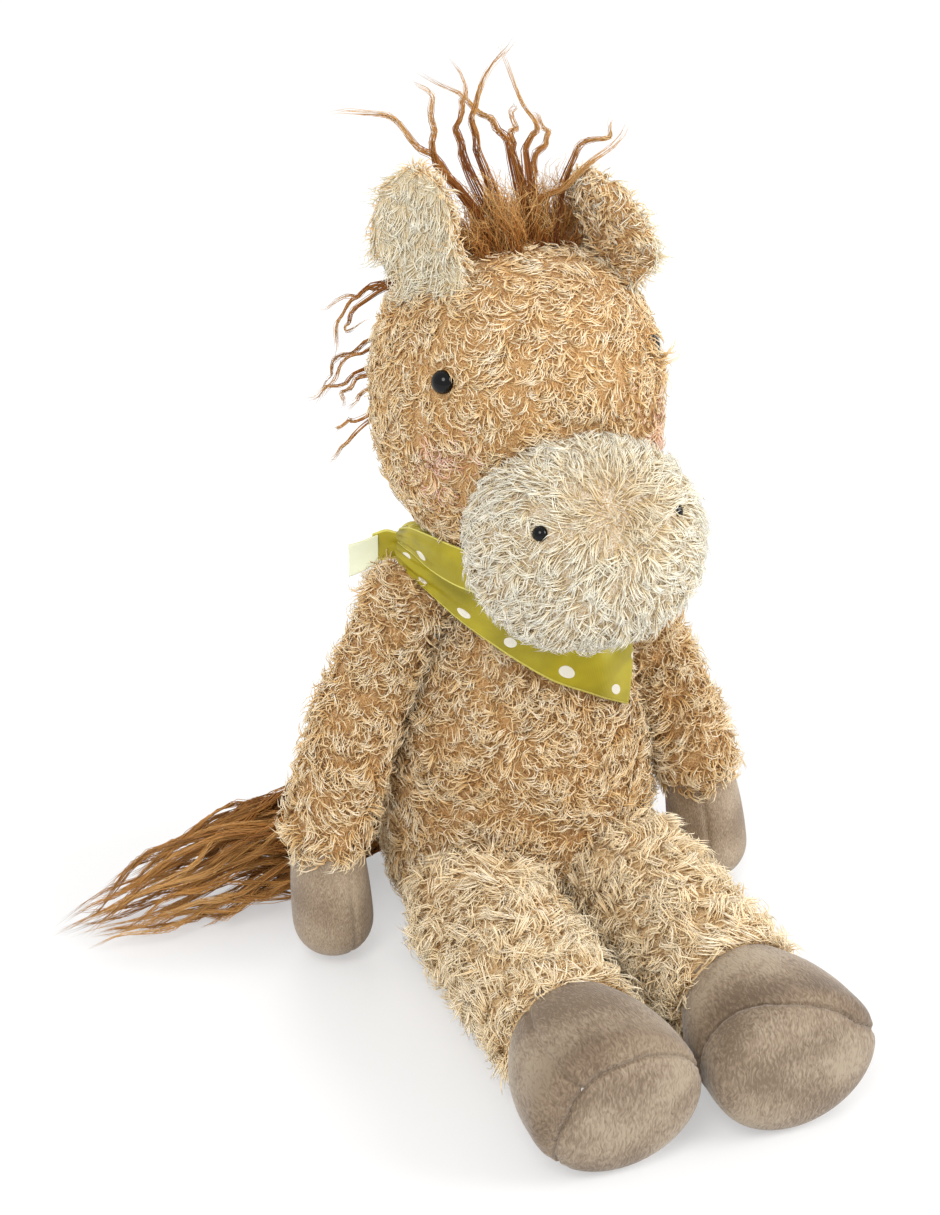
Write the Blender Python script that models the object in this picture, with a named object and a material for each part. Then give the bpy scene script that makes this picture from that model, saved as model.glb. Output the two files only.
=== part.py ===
"""Seated plush horse: sewn skins, stuffing, pellet bags, beads, hair and a ribbon, joined by its seams.

The horse faces -Y and its right side is -X. The origin is the middle of the flat seat.
"""
import math

import bmesh
import bpy
import numpy as np
from mathutils import Matrix, Vector

# Cloth, thread and clearances
GAP = 0.0003
CLOTH = 0.0020
FELT = 0.0016
THREAD = 0.0012
OVERRUN = 0.0100
SIDES = 16
BEAD_SIDES = 12

# Body
BODY_HALF_WIDTH = 0.0490
BODY_FRONT = 0.0425
BODY_BACK = 0.0395
NECK_HEIGHT = 0.1480
NECK_SETBACK = 0.0020
NECK_RADIUS = 0.0260
NECK_OPENING = 0.0110
NECK_SEAM_OPENING = math.radians(56.25)
SEAT_BAG_RADIUS = 0.0200
SEAT_BAG_HEIGHT = 0.0200
SEAT_BAG_SETBACK = 0.0070
BODY_SHARES = (
    (0.00, 0.10), (0.03, 0.40), (0.08, 0.68), (0.16, 0.88), (0.25, 0.97), (0.34, 1.00), (0.45, 0.97),
    (0.55, 0.90), (0.65, 0.77), (0.75, 0.59), (0.84, 0.38), (0.91, 0.20), (1.00, 0.00),
)

# Head, measured from the neck's centre
HEAD_HALF_WIDTH = 0.0480
HEAD_HALF_DEPTH = 0.0470
HEAD_HALF_HEIGHT = 0.0540
HEAD_RISE = 0.0665
HEAD_FORWARD = 0.0080
HEAD_SQUARENESS = 2.4
HEAD_OFF_CENTRE = 0.0032
MUZZLE_HALF_WIDTH = 0.0385
MUZZLE_OFF_CENTRE = 0.0010
MUZZLE_HALF_DEPTH = 0.0340
MUZZLE_HALF_HEIGHT = 0.0335
MUZZLE_FORWARD = 0.0670
MUZZLE_RISE = 0.0380
MUZZLE_SQUARENESS = 2.2

# Beads: radius, dome height, shank and washer
EYE_RADIUS = 0.0041
EYE_DOME = 0.0034
EYE_SHANK = 0.0014
EYE_SHANK_LENGTH = 0.0105
EYE_WASHER_RADIUS = 0.0055
EYE_RISE = 0.0235
EYE_BEARING = math.radians(54)
NOSTRIL_RADIUS = 0.0026
NOSTRIL_DOME = 0.0022
NOSTRIL_SHANK = 0.0010
NOSTRIL_SHANK_LENGTH = 0.0070
NOSTRIL_WASHER_RADIUS = 0.0038
NOSTRIL_RISE = 0.0180
NOSTRIL_BEARING = math.radians(48)
WASHER_THICKNESS = 0.0010
WASHER_DROP = 0.0019

# Ears: the hinge line lies on the head, the lining faces the bearing
EAR_HEIGHT = 0.0360
EAR_HALF_WIDTH = 0.0175
EAR_CUP = 0.0065
EAR_BACK_CLOTH = 0.0026
EAR_LINING_CLOTH = 0.0022
EAR_EDGE = 0.0012
RIGHT_EAR_SPREAD = 0.0300
RIGHT_EAR_LEAN = math.radians(16)
RIGHT_EAR_TIP_IN = math.radians(-4)
RIGHT_EAR_BEARING = math.radians(-50)
LEFT_EAR_SPREAD = 0.0345
LEFT_EAR_LEAN = math.radians(-15)
LEFT_EAR_TIP_IN = math.radians(8)
LEFT_EAR_BEARING = math.radians(112)
EAR_WIDTH_SHARES = (
    (0.00, 0.74), (0.15, 0.90), (0.35, 1.00), (0.55, 0.96), (0.72, 0.80), (0.86, 0.57), (0.95, 0.36),
    (1.00, 0.20),
)

# Arms, measured from the shoulder seam's centre, which lies below the neck's
SHOULDER_SPREAD = 0.0440
SHOULDER_DROP = 0.0100
SHOULDER_FORWARD = 0.0030
SHOULDER_RADIUS = 0.0145
SHOULDER_SEAM_OPENING = math.radians(30)
ARM_OUT = 0.0305
ARM_FORWARD = 0.0070
ARM_LENGTH = 0.1380
WRIST = 0.0900
WRIST_RADIUS = 0.0128
ARM_HOOF_RADIUS = 0.0148
ARM_HOOF_END = 0.0150
RIGHT_ARM_PATH_SHARES = ((0.0, 0.0, 0.0), (0.35, 0.68, 0.5), (0.66, 1.06, 1.0), (1.00, 0.98, 0.9))
LEFT_ARM_PATH_SHARES = ((0.0, 0.0, 0.0), (0.35, 0.65, 0.5), (0.66, 0.88, 1.0), (1.00, 1.06, 0.9))
ARM_RADIUS_SHARES = ((0.0, 1.00), (0.15, 0.99), (0.38, 1.01), (0.58, 0.95), (0.70, 0.88))

# Legs, measured from the hip seam's centre
HIP_SPREAD = 0.0290
HIP_FORWARD = 0.0400
HIP_HEIGHT = 0.0278
HIP_RADIUS = 0.0228
HIP_SEAM_OPENING = math.radians(40)
LEG_LENGTH = 0.1300
ANKLE = 0.0810
ANKLE_RADIUS = 0.0218
LEG_HOOF_HALF_WIDTH = 0.0310
LEG_HOOF_HALF_HEIGHT = 0.0270
LEG_HOOF_END = 0.0120
SOLE_FULLNESS = 3.0
LEG_HOOF_WALL_SHARES = ((0.0, 0.0), (0.18, 0.36), (0.45, 0.76), (0.75, 0.96), (1.0, 1.0))
ANKLE_BAG_SETBACK = 0.0020
RIGHT_LEG_TURN = math.radians(2.0)
LEFT_LEG_TURN = math.radians(5.5)

# Hair
LOCK_SIDES = 6
LOCK_STEPS = 5
LOCK_ROOT_RADIUS = 0.0048
LOCK_TIP_RADIUS = 0.0009
FORELOCK_ROOT_SHARE = 0.7
FORELOCK_HEIGHT = 0.0740
FORELOCK_HALF_WIDTH = 0.0150
FORELOCK_HALF_DEPTH = 0.0080
FORELOCK_PAD = 0.0100
FORELOCK_BEND_SHARES = ((0.12, 0.3, 0.42), (0.46, 0.65, 0.82))
FORELOCK_TIP_SHARES = (
    (-0.86, 0.05, 0.74), (-0.50, -0.10, 0.90), (-0.32, 0.15, 0.98), (-0.08, -0.05, 1.02), (0.05, 0.12, 1.00),
    (0.10, -0.18, 0.64), (0.28, 0.10, 0.56), (0.48, -0.06, 0.50), (0.60, 0.08, 0.49), (-0.22, -0.20, 0.70),
)
MANE_REACH = 0.0640
MANE_TOP = 0.0420
MANE_FOOT = 0.0300
MANE_RADIUS = 0.0045
MANE_LOCK_RADIUS = 0.0036
MANE_BEND_SHARE = 0.12
MANE_TIP_SHARES = (
    (0.96, 0.04, -0.26), (0.62, 0.10, -0.30), (0.80, 0.02, -0.42), (0.98, 0.06, -0.40), (0.66, 0.12, -0.50),
    (0.78, 0.04, -0.52),
)

# Tail, measured from its own seam's centre
TAIL_HEIGHT = 0.0210
TAIL_ROOT_RADIUS = 0.0080
TAIL_SEATING = 0.0010
TAIL_LENGTH = 0.1680
TAIL_THICKNESS = 0.0175
TAIL_FLOOR = 0.0006
TAIL_PATH_SHARES = (
    (0.00, 0.000, 0.00), (0.12, 0.045, -0.05), (0.30, 0.025, -0.10), (0.52, -0.020, -0.12), (0.78, -0.050, -0.45),
    (1.00, -0.065, -0.86),
)
TAIL_RADIUS_SHARES = ((0.0, 0.43), (0.12, 0.56), (0.30, 0.86), (0.52, 1.00), (0.78, 0.58), (1.00, 0.08))

# Ribbon, with its heights above the neck's centre
RIBBON = 0.0010
BAND_THICKNESS = 0.0028
BAND_HALF_HEIGHT = 0.0037
BAND_RISE = 0.0010
BAND_SADDLE = 0.0085
KNOT_OUT = 0.0380
KNOT_BACK = 0.0040
KNOT_RISE = 0.0120
KNOT_HALF_LENGTH = 0.0120
KNOT_HALF_HEIGHT = 0.0060
RIBBON_HALF_WIDTH = 0.0185
FRONT_TAIL_ACROSS = 0.0640
FRONT_TAIL_FORWARD = 0.0470
FRONT_TAIL_DROP = 0.0390
FRONT_TAIL_PATH_SHARES = (
    (0.00, 0.00, 0.00, 0.30), (0.08, 0.30, -0.09, 0.42), (0.30, 0.71, -0.27, 0.70), (0.62, 0.97, -0.62, 0.96),
    (1.00, 1.00, -1.00, 1.00),
)
BACK_TAIL_LENGTH = 0.0160
BACK_TAIL_PATH_SHARES = (
    (0.00, 0.00, 0.00, 0.34), (0.30, 0.30, -0.05, 0.46), (0.65, 0.60, -0.25, 0.58), (1.00, 1.00, -0.50, 0.56),
)
RIBBON_LEAN = math.radians(12)


def linear(channel):
    """Linear value of one sRGB channel between 0 and 1."""
    return channel / 12.92 if channel <= 0.04045 else ((channel + 0.055) / 1.055) ** 2.4


def material(name, colour, roughness, metallic=0.0):
    """Principled material from an sRGB hex colour."""
    made = bpy.data.materials.new(name)
    made.use_nodes = True
    shader = made.node_tree.nodes["Principled BSDF"]
    channels = [linear(int(colour[i:i + 2], 16) / 255) for i in (0, 2, 4)]
    shader.inputs["Base Color"].default_value = (*channels, 1.0)
    shader.inputs["Roughness"].default_value = roughness
    shader.inputs["Metallic"].default_value = metallic
    made.diffuse_color = (*channels, 1.0)
    return made


def smooth(stations, values, where):
    """Cubic curve through the stations that doesn't swing past them."""
    stations, values, where = (np.asarray(item, dtype=float) for item in (stations, values, where))
    steps = np.diff(stations)
    slopes = np.diff(values) / steps
    tangents = np.concatenate([slopes[:1], np.zeros(len(slopes) - 1), slopes[-1:]])
    for i in range(1, len(slopes)):
        if slopes[i - 1] * slopes[i] > 0:
            tangents[i] = 2 * slopes[i - 1] * slopes[i] / (slopes[i - 1] + slopes[i])
    left = np.clip(np.searchsorted(stations, where, side="right") - 1, 0, len(steps) - 1)
    part = (where - stations[left]) / steps[left]
    return (
        values[left] * (1 + 2 * part) * (1 - part) ** 2
        + values[left + 1] * part ** 2 * (3 - 2 * part)
        + steps[left] * part * (1 - part) * (tangents[left] * (1 - part) - tangents[left + 1] * part)
    )


def column(table, index):
    """One column of a table of shares."""
    return [row[index] for row in table]


def turns(count):
    """Even angles round a ring."""
    return np.arange(count) * math.tau / count


def add_object(name, mesh, finish, parent=None):
    """Object of a bmesh, shaded smooth, under its pivot."""
    bmesh.ops.recalc_face_normals(mesh, faces=mesh.faces)
    data = bpy.data.meshes.new(name)
    mesh.to_mesh(data)
    mesh.free()
    data.shade_smooth()
    data.set_sharp_from_angle(angle=math.radians(50))
    if finish:
        data.materials.append(finish)
    made = bpy.data.objects.new(name, data)
    bpy.context.scene.collection.objects.link(made)
    made.parent = parent
    return made


def skinned(rings, looped=False):
    """Surface over a run of rings; a ring of one point is a pole, and a looped run closes on itself."""
    mesh = bmesh.new()
    loops = [[mesh.verts.new(tuple(point)) for point in ring] for ring in rings]
    following = loops[1:] + loops[:1] if looped else loops[1:]
    for first, second in zip(loops, following):
        count = max(len(first), len(second))
        for i in range(count):
            j = (i + 1) % count
            corners = [first[i % len(first)], first[j % len(first)]]
            corners += [second[j % len(second)], second[i % len(second)]]
            mesh.faces.new(list(dict.fromkeys(corners)))
    return mesh


def pivot(name, place, turn=0.0, parent=None):
    """Empty on a seam's centre."""
    made = bpy.data.objects.new(name, None)
    bpy.context.scene.collection.objects.link(made)
    made.location = place
    made.rotation_euler = (0.0, 0.0, turn)
    made.parent = parent
    return made


def cutter(name, mesh, parent=None):
    """Shape that only cuts others."""
    made = add_object(name, mesh, None, parent)
    made.hide_render = True
    made.display_type = "WIRE"
    return made


def cut(target, tool, operation="DIFFERENCE"):
    """Boolean of the target with another object."""
    step = target.modifiers.new(tool.name, "BOOLEAN")
    step.object = tool
    step.operation = operation
    step.solver = "EXACT"
    return step


def round_out(radius, steps):
    """Corner radius of a faceted ball whose flats lie outside a radius."""
    return radius / (math.cos(math.pi / SIDES) * math.cos(math.pi / 2 / steps))


def ball(centre, radius, steps=8):
    """Sphere about a point, with its flats outside the radius."""
    radius = round_out(radius, steps)
    rings = [[centre + Vector((0, 0, -radius))]]
    for level in range(1, steps):
        angle = math.pi * level / steps
        rings.append([
            centre + radius * Vector((
                math.sin(angle) * math.cos(turn), math.sin(angle) * math.sin(turn), -math.cos(angle)))
            for turn in turns(SIDES)
        ])
    rings.append([centre + Vector((0, 0, radius))])
    return skinned(rings)


def spun(profile, place, axis, sides=SIDES):
    """Solid turned about an axis from (radius, height) points; a radius of zero is a pole."""
    turn = Vector((0, 0, 1)).rotation_difference(axis).to_matrix()
    rings = []
    for radius, height in profile:
        if radius == 0:
            rings.append([place + turn @ Vector((0, 0, height))])
        else:
            rings.append([
                place + turn @ Vector((radius * math.cos(angle), radius * math.sin(angle), height))
                for angle in turns(sides)
            ])
    return skinned(rings)


def washer_rings(inner, outer, top, thickness):
    """Corner points of a flat washer, in (radius, height)."""
    return [(inner, top), (outer, top), (outer, top - thickness), (inner, top - thickness)]


def seam_space(radius):
    """Radius of the socket round a seam's ball, with room for the stitching."""
    return radius + THREAD + 2 * GAP


def stitching(name, finish, parent, radius, axis, opening):
    """Ring of thread on a seam's ball, at an angle from the axis."""
    reach = radius + GAP + THREAD / 2
    turn = Vector((0, 0, 1)).rotation_difference(axis).to_matrix()
    rings = []
    for angle in turns(SIDES) + math.pi / SIDES:
        out = Vector((math.cos(angle), math.sin(angle), 0))
        centre = out * reach * math.sin(opening) + Vector((0, 0, reach * math.cos(opening)))
        rings.append([
            turn @ (centre + (out * math.cos(side) + Vector((0, 0, math.sin(side)))) * THREAD / 2)
            for side in turns(LOCK_SIDES)
        ])
    return add_object(name, skinned(rings, looped=True), finish, parent)


def oval_rings(centre, half_sizes, squareness, inset=0.0, steps=11):
    """Rounded box, between a ball and a block, moved in by the inset."""
    sizes = [size - inset for size in half_sizes]
    power = 2 / squareness

    def soft(value):
        return math.copysign(abs(value) ** power, value)

    rings = [[centre - Vector((0, 0, sizes[2]))]]
    for level in range(1, steps):
        angle = math.pi * level / steps
        rings.append([
            centre + Vector((
                sizes[0] * soft(math.sin(angle)) * soft(math.cos(turn)),
                sizes[1] * soft(math.sin(angle)) * soft(math.sin(turn)),
                -sizes[2] * soft(math.cos(angle)),
            ))
            for turn in turns(SIDES)
        ])
    rings.append([centre + Vector((0, 0, sizes[2]))])
    return rings


def oval_place(centre, half_sizes, squareness, bearing, rise):
    """Point and outward direction on a rounded box at a bearing from forward and a height above its centre."""
    across, along, up = half_sizes
    side, front = math.sin(bearing), -math.cos(bearing)
    left_over = 1 - abs(rise / up) ** squareness
    spread = abs(side / across) ** squareness + abs(front / along) ** squareness
    reach = (left_over / spread) ** (1 / squareness)
    spot = Vector((side * reach, front * reach, rise))
    outward = Vector([
        math.copysign(abs(value / size) ** (squareness - 1) / size, value)
        for value, size in zip(spot, half_sizes)
    ])
    return centre + spot, outward.normalized()


# The body: one pear form, inset for each layer
def body_oval(height):
    """Half width, front, back and middle of the body at a height, up to the neck's centre."""
    swell = smooth(column(BODY_SHARES, 0), column(BODY_SHARES, 1), max(height, 0) / NECK_HEIGHT)
    middle = NECK_SETBACK * max(height, 0) / NECK_HEIGHT
    sizes = [NECK_RADIUS + (size - NECK_RADIUS) * swell for size in (BODY_HALF_WIDTH, BODY_FRONT, BODY_BACK)]
    return (*sizes, middle)


def body_place(turn, height, outset=0.0):
    """Point on the body at an angle from +X and a height."""
    if height <= NECK_HEIGHT:
        half_width, front, back, middle = body_oval(height)
    else:
        half_width = front = back = math.sqrt(NECK_RADIUS ** 2 - (height - NECK_HEIGHT) ** 2)
        middle = NECK_SETBACK
    depth = back if math.sin(turn) > 0 else front
    return Vector((
        (half_width + outset) * math.cos(turn), middle + (depth + outset) * math.sin(turn), height,
    ))


def body_rings(inset, floor):
    """Rings of the body from the flat seat to the top of the neck's dome."""
    rings = [[Vector((0, 0, floor))]]
    for share, _ in BODY_SHARES:
        height = floor + (NECK_HEIGHT - floor) * share
        rings.append([
            Vector((*body_place(turn, NECK_HEIGHT * share, -inset).xy, height)) for turn in turns(SIDES)
        ])
    dome = NECK_RADIUS - inset
    for step in range(1, 5):
        angle = math.pi / 2 * step / 5
        rings.append([
            Vector((0, NECK_SETBACK, NECK_HEIGHT)) + dome * Vector((
                math.cos(angle) * math.cos(turn), math.cos(angle) * math.sin(turn), math.sin(angle)))
            for turn in turns(SIDES)
        ])
    rings.append([Vector((0, NECK_SETBACK, NECK_HEIGHT + dome))])
    return rings


def seam_spots():
    """Centre and ball radius of each arm, leg and tail seam."""
    shoulder_height = NECK_HEIGHT - SHOULDER_DROP
    return {
        "right_shoulder": (Vector((-SHOULDER_SPREAD, -SHOULDER_FORWARD, shoulder_height)), SHOULDER_RADIUS),
        "left_shoulder": (Vector((SHOULDER_SPREAD, -SHOULDER_FORWARD, shoulder_height)), SHOULDER_RADIUS),
        "right_hip": (Vector((-HIP_SPREAD, -HIP_FORWARD, HIP_HEIGHT)), HIP_RADIUS),
        "left_hip": (Vector((HIP_SPREAD, -HIP_FORWARD, HIP_HEIGHT)), HIP_RADIUS),
    }


def tail_spot():
    """Centre of the tail's seam, just behind the body."""
    return body_place(math.pi / 2, TAIL_HEIGHT, TAIL_ROOT_RADIUS + GAP - TAIL_SEATING)


def thigh_relief(centre, radius):
    """Ball with a round shaft below it, so that the thigh can hang down."""
    steps = 6
    radius = round_out(radius, 2 * steps)
    profile = [(0, centre.z + radius)]
    for step in range(1, steps + 1):
        angle = math.pi / 2 * step / steps
        profile.append((radius * math.sin(angle), centre.z + radius * math.cos(angle)))
    profile += [(radius, -OVERRUN), (0, -OVERRUN)]
    return spun(profile, Vector((centre.x, centre.y, 0)), Vector((0, 0, 1)))


def seam_cutters(prefix, outset):
    """Cutters for the sockets of the arms, legs and tail, grown by the outset."""
    tools = []
    for name, (centre, radius) in seam_spots().items():
        reach = seam_space(radius) + outset
        shape = thigh_relief(centre, reach) if name.endswith("hip") else ball(centre, reach)
        tools.append(cutter(f"{prefix}_{name}_cutter", shape))
    tools.append(cutter(f"{prefix}_tail_cutter", ball(tail_spot(), TAIL_ROOT_RADIUS + GAP + outset)))
    return tools


def make_body(finishes):
    """Body skin with its neck opening, the stuffing and the pellet bag that weights the seat."""
    skin = add_object("body_skin", skinned(body_rings(0.0, 0.0)), finishes["tan_pile"])
    hollow = cutter("body_hollow_cutter", skinned(body_rings(CLOTH, CLOTH)))
    for tool in seam_cutters("body_hollow", CLOTH):
        cut(hollow, tool)
    for tool in [hollow, *seam_cutters("body_skin", 0.0)]:
        cut(skin, tool)
    opening = [(0, 0), (NECK_OPENING, 0), (NECK_OPENING, NECK_RADIUS + OVERRUN), (0, NECK_RADIUS + OVERRUN)]
    neck_centre = Vector((0, NECK_SETBACK, NECK_HEIGHT))
    cut(skin, cutter("neck_opening_cutter", spun(opening, neck_centre, Vector((0, 0, 1)), SIDES - 1)))

    stuffing = add_object("body_stuffing", skinned(body_rings(CLOTH + GAP, CLOTH + GAP)), finishes["stuffing"])
    for tool in seam_cutters("body_stuffing", CLOTH + GAP):
        cut(stuffing, tool)
    cut(stuffing, cutter("seat_bag_cutter", seat_bag(GAP, -OVERRUN)))
    add_object("seat_pellet_bag", seat_bag(0.0, CLOTH + GAP), finishes["pellets"])


def seat_bag(outset, floor):
    """Round bag with soft shoulders, standing on a floor."""
    radius, height = SEAT_BAG_RADIUS + outset, SEAT_BAG_HEIGHT + outset
    shares = ((0.80, 0.0), (1.0, 0.30), (1.0, 0.55), (0.92, 0.80), (0.70, 0.95), (0.0, 1.0))
    profile = [(0, floor)] + [(radius * out, max(floor, height * up)) for out, up in shares]
    return spun(profile, Vector((0, SEAT_BAG_SETBACK, 0)), Vector((0, 0, 1)))


# The head: a rounded box with the muzzle sewn on
def head_form():
    """Centre and half sizes of the head, from the neck's centre."""
    centre = Vector((-HEAD_OFF_CENTRE, -HEAD_FORWARD, HEAD_RISE))
    return centre, (HEAD_HALF_WIDTH, HEAD_HALF_DEPTH, HEAD_HALF_HEIGHT), HEAD_SQUARENESS


def muzzle_form():
    """Centre and half sizes of the muzzle, from the neck's centre."""
    centre = Vector((-MUZZLE_OFF_CENTRE, -MUZZLE_FORWARD, MUZZLE_RISE))
    return centre, (MUZZLE_HALF_WIDTH, MUZZLE_HALF_DEPTH, MUZZLE_HALF_HEIGHT), MUZZLE_SQUARENESS


def make_head(finishes, neck):
    """Head skin with its neck socket, and its stuffing."""
    skin = add_object("head_skin", skinned(oval_rings(*head_form())), finishes["tan_pile"], neck)
    hollow = cutter("head_hollow_cutter", skinned(oval_rings(*head_form(), CLOTH)), neck)
    socket = seam_space(NECK_RADIUS)
    cut(hollow, cutter("head_hollow_socket_cutter", ball(Vector(), socket + CLOTH), neck))
    cut(skin, hollow)
    cut(skin, cutter("head_socket_cutter", ball(Vector(), socket), neck))
    opening = [(0, 0), (NECK_OPENING, 0), (NECK_OPENING, socket + OVERRUN), (0, socket + OVERRUN)]
    cut(skin, cutter("head_opening_cutter", spun(opening, Vector(), Vector((0, 0, 1)), SIDES - 1), neck))

    inset = CLOTH + GAP
    stuffing = add_object("head_stuffing", skinned(oval_rings(*head_form(), inset)), finishes["stuffing"], neck)
    cut(stuffing, cutter("head_stuffing_socket_cutter", ball(Vector(), socket + inset), neck))
    return skin, stuffing


def make_muzzle(finishes, neck):
    """Muzzle skin, open where it meets the head, and its stuffing."""
    head = cutter("muzzle_seat_cutter", skinned(oval_rings(*head_form(), -GAP)), neck)
    skin = add_object("muzzle_skin", skinned(oval_rings(*muzzle_form())), finishes["cream_pile"], neck)
    cut(skin, cutter("muzzle_hollow_cutter", skinned(oval_rings(*muzzle_form(), CLOTH)), neck))
    cut(skin, head)
    stuffing = add_object(
        "muzzle_stuffing", skinned(oval_rings(*muzzle_form(), CLOTH + GAP)), finishes["stuffing"], neck)
    cut(stuffing, head)
    return skin, stuffing


def make_bead(name, finishes, neck, layers, place, outward, sizes):
    """Glossy bead whose shank passes through the skin into a washer, with its holes."""
    radius, dome, shank, length, washer = sizes
    steps = 6
    profile = [(0, GAP + dome)]
    for step in range(1, steps + 1):
        angle = math.pi / 2 * step / steps
        profile.append((radius * math.sin(angle), GAP + dome * math.cos(angle)))
    profile += [(shank, GAP), (shank, -length), (0, -length)]
    add_object(name, spun(profile, place, outward, BEAD_SIDES), finishes["black_gloss"], neck)

    top = -CLOTH - WASHER_DROP
    corners = washer_rings(shank + GAP, washer, top, WASHER_THICKNESS)
    turn = Vector((0, 0, 1)).rotation_difference(outward).to_matrix()
    rings = [
        [place + turn @ Vector((r * math.cos(angle), r * math.sin(angle), z)) for r, z in corners]
        for angle in turns(BEAD_SIDES)
    ]
    add_object(f"{name}_washer", skinned(rings, looped=True), finishes["washer"], neck)

    skin, stuffing = layers
    hole = shank + GAP
    through = [(0, OVERRUN), (hole, OVERRUN), (hole, -length), (0, -length)]
    cut(skin, cutter(f"{name}_hole_cutter", spun(through, place, outward, BEAD_SIDES), neck))
    pocket, foot = washer + GAP, -length - GAP
    room = [(0, OVERRUN), (pocket, OVERRUN), (pocket, top - WASHER_THICKNESS - GAP),
            (hole, top - WASHER_THICKNESS - GAP), (hole, foot), (0, foot)]
    cut(stuffing, cutter(f"{name}_pocket_cutter", spun(room, place, outward, BEAD_SIDES), neck))


def make_beads(finishes, neck, head_layers, muzzle_layers):
    """Both eyes and both nostrils."""
    eye = (EYE_RADIUS, EYE_DOME, EYE_SHANK, EYE_SHANK_LENGTH, EYE_WASHER_RADIUS)
    nostril = (NOSTRIL_RADIUS, NOSTRIL_DOME, NOSTRIL_SHANK, NOSTRIL_SHANK_LENGTH, NOSTRIL_WASHER_RADIUS)
    for side, sign in (("right", -1), ("left", 1)):
        place, outward = oval_place(*head_form(), sign * EYE_BEARING, EYE_RISE)
        make_bead(f"{side}_eye", finishes, neck, head_layers, place, outward, eye)
        place, outward = oval_place(*muzzle_form(), sign * NOSTRIL_BEARING, NOSTRIL_RISE)
        make_bead(f"{side}_nostril", finishes, neck, muzzle_layers, place, outward, nostril)


def ear_frame(spread, lean, tip_in, bearing):
    """Hinge point and axes of an ear: along the hinge, away from the lining, and up."""
    centre, half_sizes, squareness = head_form()
    rise = half_sizes[2] * (1 - abs(spread / half_sizes[0]) ** squareness) ** (1 / squareness)
    outward = Vector((
        math.copysign(abs(spread / half_sizes[0]) ** (squareness - 1) / half_sizes[0], spread), 0,
        (rise / half_sizes[2]) ** (squareness - 1) / half_sizes[2],
    )).normalized()
    hinge = Vector((math.cos(bearing), math.sin(bearing), 0))
    hinge = (hinge - outward * hinge.dot(outward)).normalized()
    up = Vector((-math.copysign(1, spread) * math.sin(tip_in), math.sin(lean), math.cos(lean)))
    up = (up - hinge * up.dot(hinge)).normalized()
    frame = Matrix((hinge, up.cross(hinge), up)).transposed().to_4x4()
    frame.translation = centre + Vector((spread, 0, rise)) + outward * (EAR_BACK_CLOTH + GAP)
    return frame


def ear_section(share, width_share, low, high):
    """Cross-section of one ear layer between two distances behind the middle surface."""
    half = width_share * smooth(column(EAR_WIDTH_SHARES, 0), column(EAR_WIDTH_SHARES, 1), share)
    bend = EAR_CUP * min(share * 4, 1) ** 2 * (1 - share / 2)
    across = [-1, -0.75, -0.35, 0.35, 0.75, 1]
    points = []
    for value, reach in [(u, high) for u in across] + [(u, low) for u in reversed(across)]:
        fade = math.sqrt(1 - 0.8 * value ** 2)
        middle = -bend * value ** 2
        points.append((half * value, middle + (reach - GAP / 2) * fade + GAP / 2 if reach > 0
                       else middle + (reach + GAP / 2) * fade - GAP / 2, EAR_HEIGHT * share))
    return points


def make_ear(name, finishes, neck, frame):
    """Ear of two cloths sewn edge to edge, turned under at the hinge."""
    hinge = bpy.data.objects.new(f"{name}_hinge", None)
    bpy.context.scene.collection.objects.link(hinge)
    hinge.parent = neck
    hinge.matrix_local = frame
    shares = [0.0, 0.10, 0.22, 0.38, 0.56, 0.72, 0.86, 0.95, 1.0]
    behind = [ear_section(share, EAR_HALF_WIDTH, GAP, EAR_BACK_CLOTH) for share in shares]
    root_half = behind[0][-1][0]
    roll = []
    for step in range(1, 5):
        angle = math.pi / 2 * step / 4
        drop = -EAR_BACK_CLOTH * math.cos(angle) - GAP / 2
        reach = EAR_BACK_CLOTH * math.sin(angle)
        count = len(behind[0]) // 2
        across = np.linspace(-1, 1, count)
        roll.append([(-abs(root_half) * u, reach, drop) for u in across][::-1]
                    + [(-abs(root_half) * u, -reach, drop) for u in across])
    foot = [[(0, 0, -EAR_BACK_CLOTH - GAP / 2)]]
    top = np.mean(np.array(behind[-1]), axis=0)
    add_object(f"{name}_back", skinned(foot + roll + behind + [[top]]), finishes["tan_pile"], hinge)

    inner = EAR_HALF_WIDTH - EAR_EDGE
    front = [ear_section(share, inner, -EAR_LINING_CLOTH, -GAP) for share in shares[:-1]]
    base = np.mean(np.array(front[0]), axis=0)
    tip = np.mean(np.array(front[-1]), axis=0)
    add_object(f"{name}_lining", skinned([[base], *front, [tip]]), finishes["ear_lining"], hinge)
    return hinge


# Limbs: rings square to a path, from the seam's ball to a round end
def limb_frame(path, distance, step):
    """Centre and the two cross directions of a limb at a distance along it."""
    here, ahead, behind = path(distance), path(distance + step), path(max(distance - step, 0))
    along = (ahead - behind).normalized()
    side = along.cross(path.facing).normalized()
    return here, side, side.cross(along)


class LimbPath:
    """Smooth line through points whose first column is the distance."""

    def __init__(self, points, facing):
        self.points = np.array(points, dtype=float)
        self.facing = Vector(facing)

    def __call__(self, distance):
        inside = min(max(distance, self.points[0, 0]), self.points[-1, 0])
        spot = Vector([smooth(self.points[:, 0], self.points[:, i], inside) for i in (1, 2, 3)])
        if distance > inside:
            step = self.points[-1, 1:] - self.points[-2, 1:]
            spot += Vector(step).normalized() * (distance - inside)
        return spot


def limb_ring(path, distance, across, up, step):
    """Oval ring round a limb."""
    centre, side, front = limb_frame(path, distance, step)
    return [centre + side * across * math.cos(turn) + front * up * math.sin(turn) for turn in turns(SIDES)]


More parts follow.
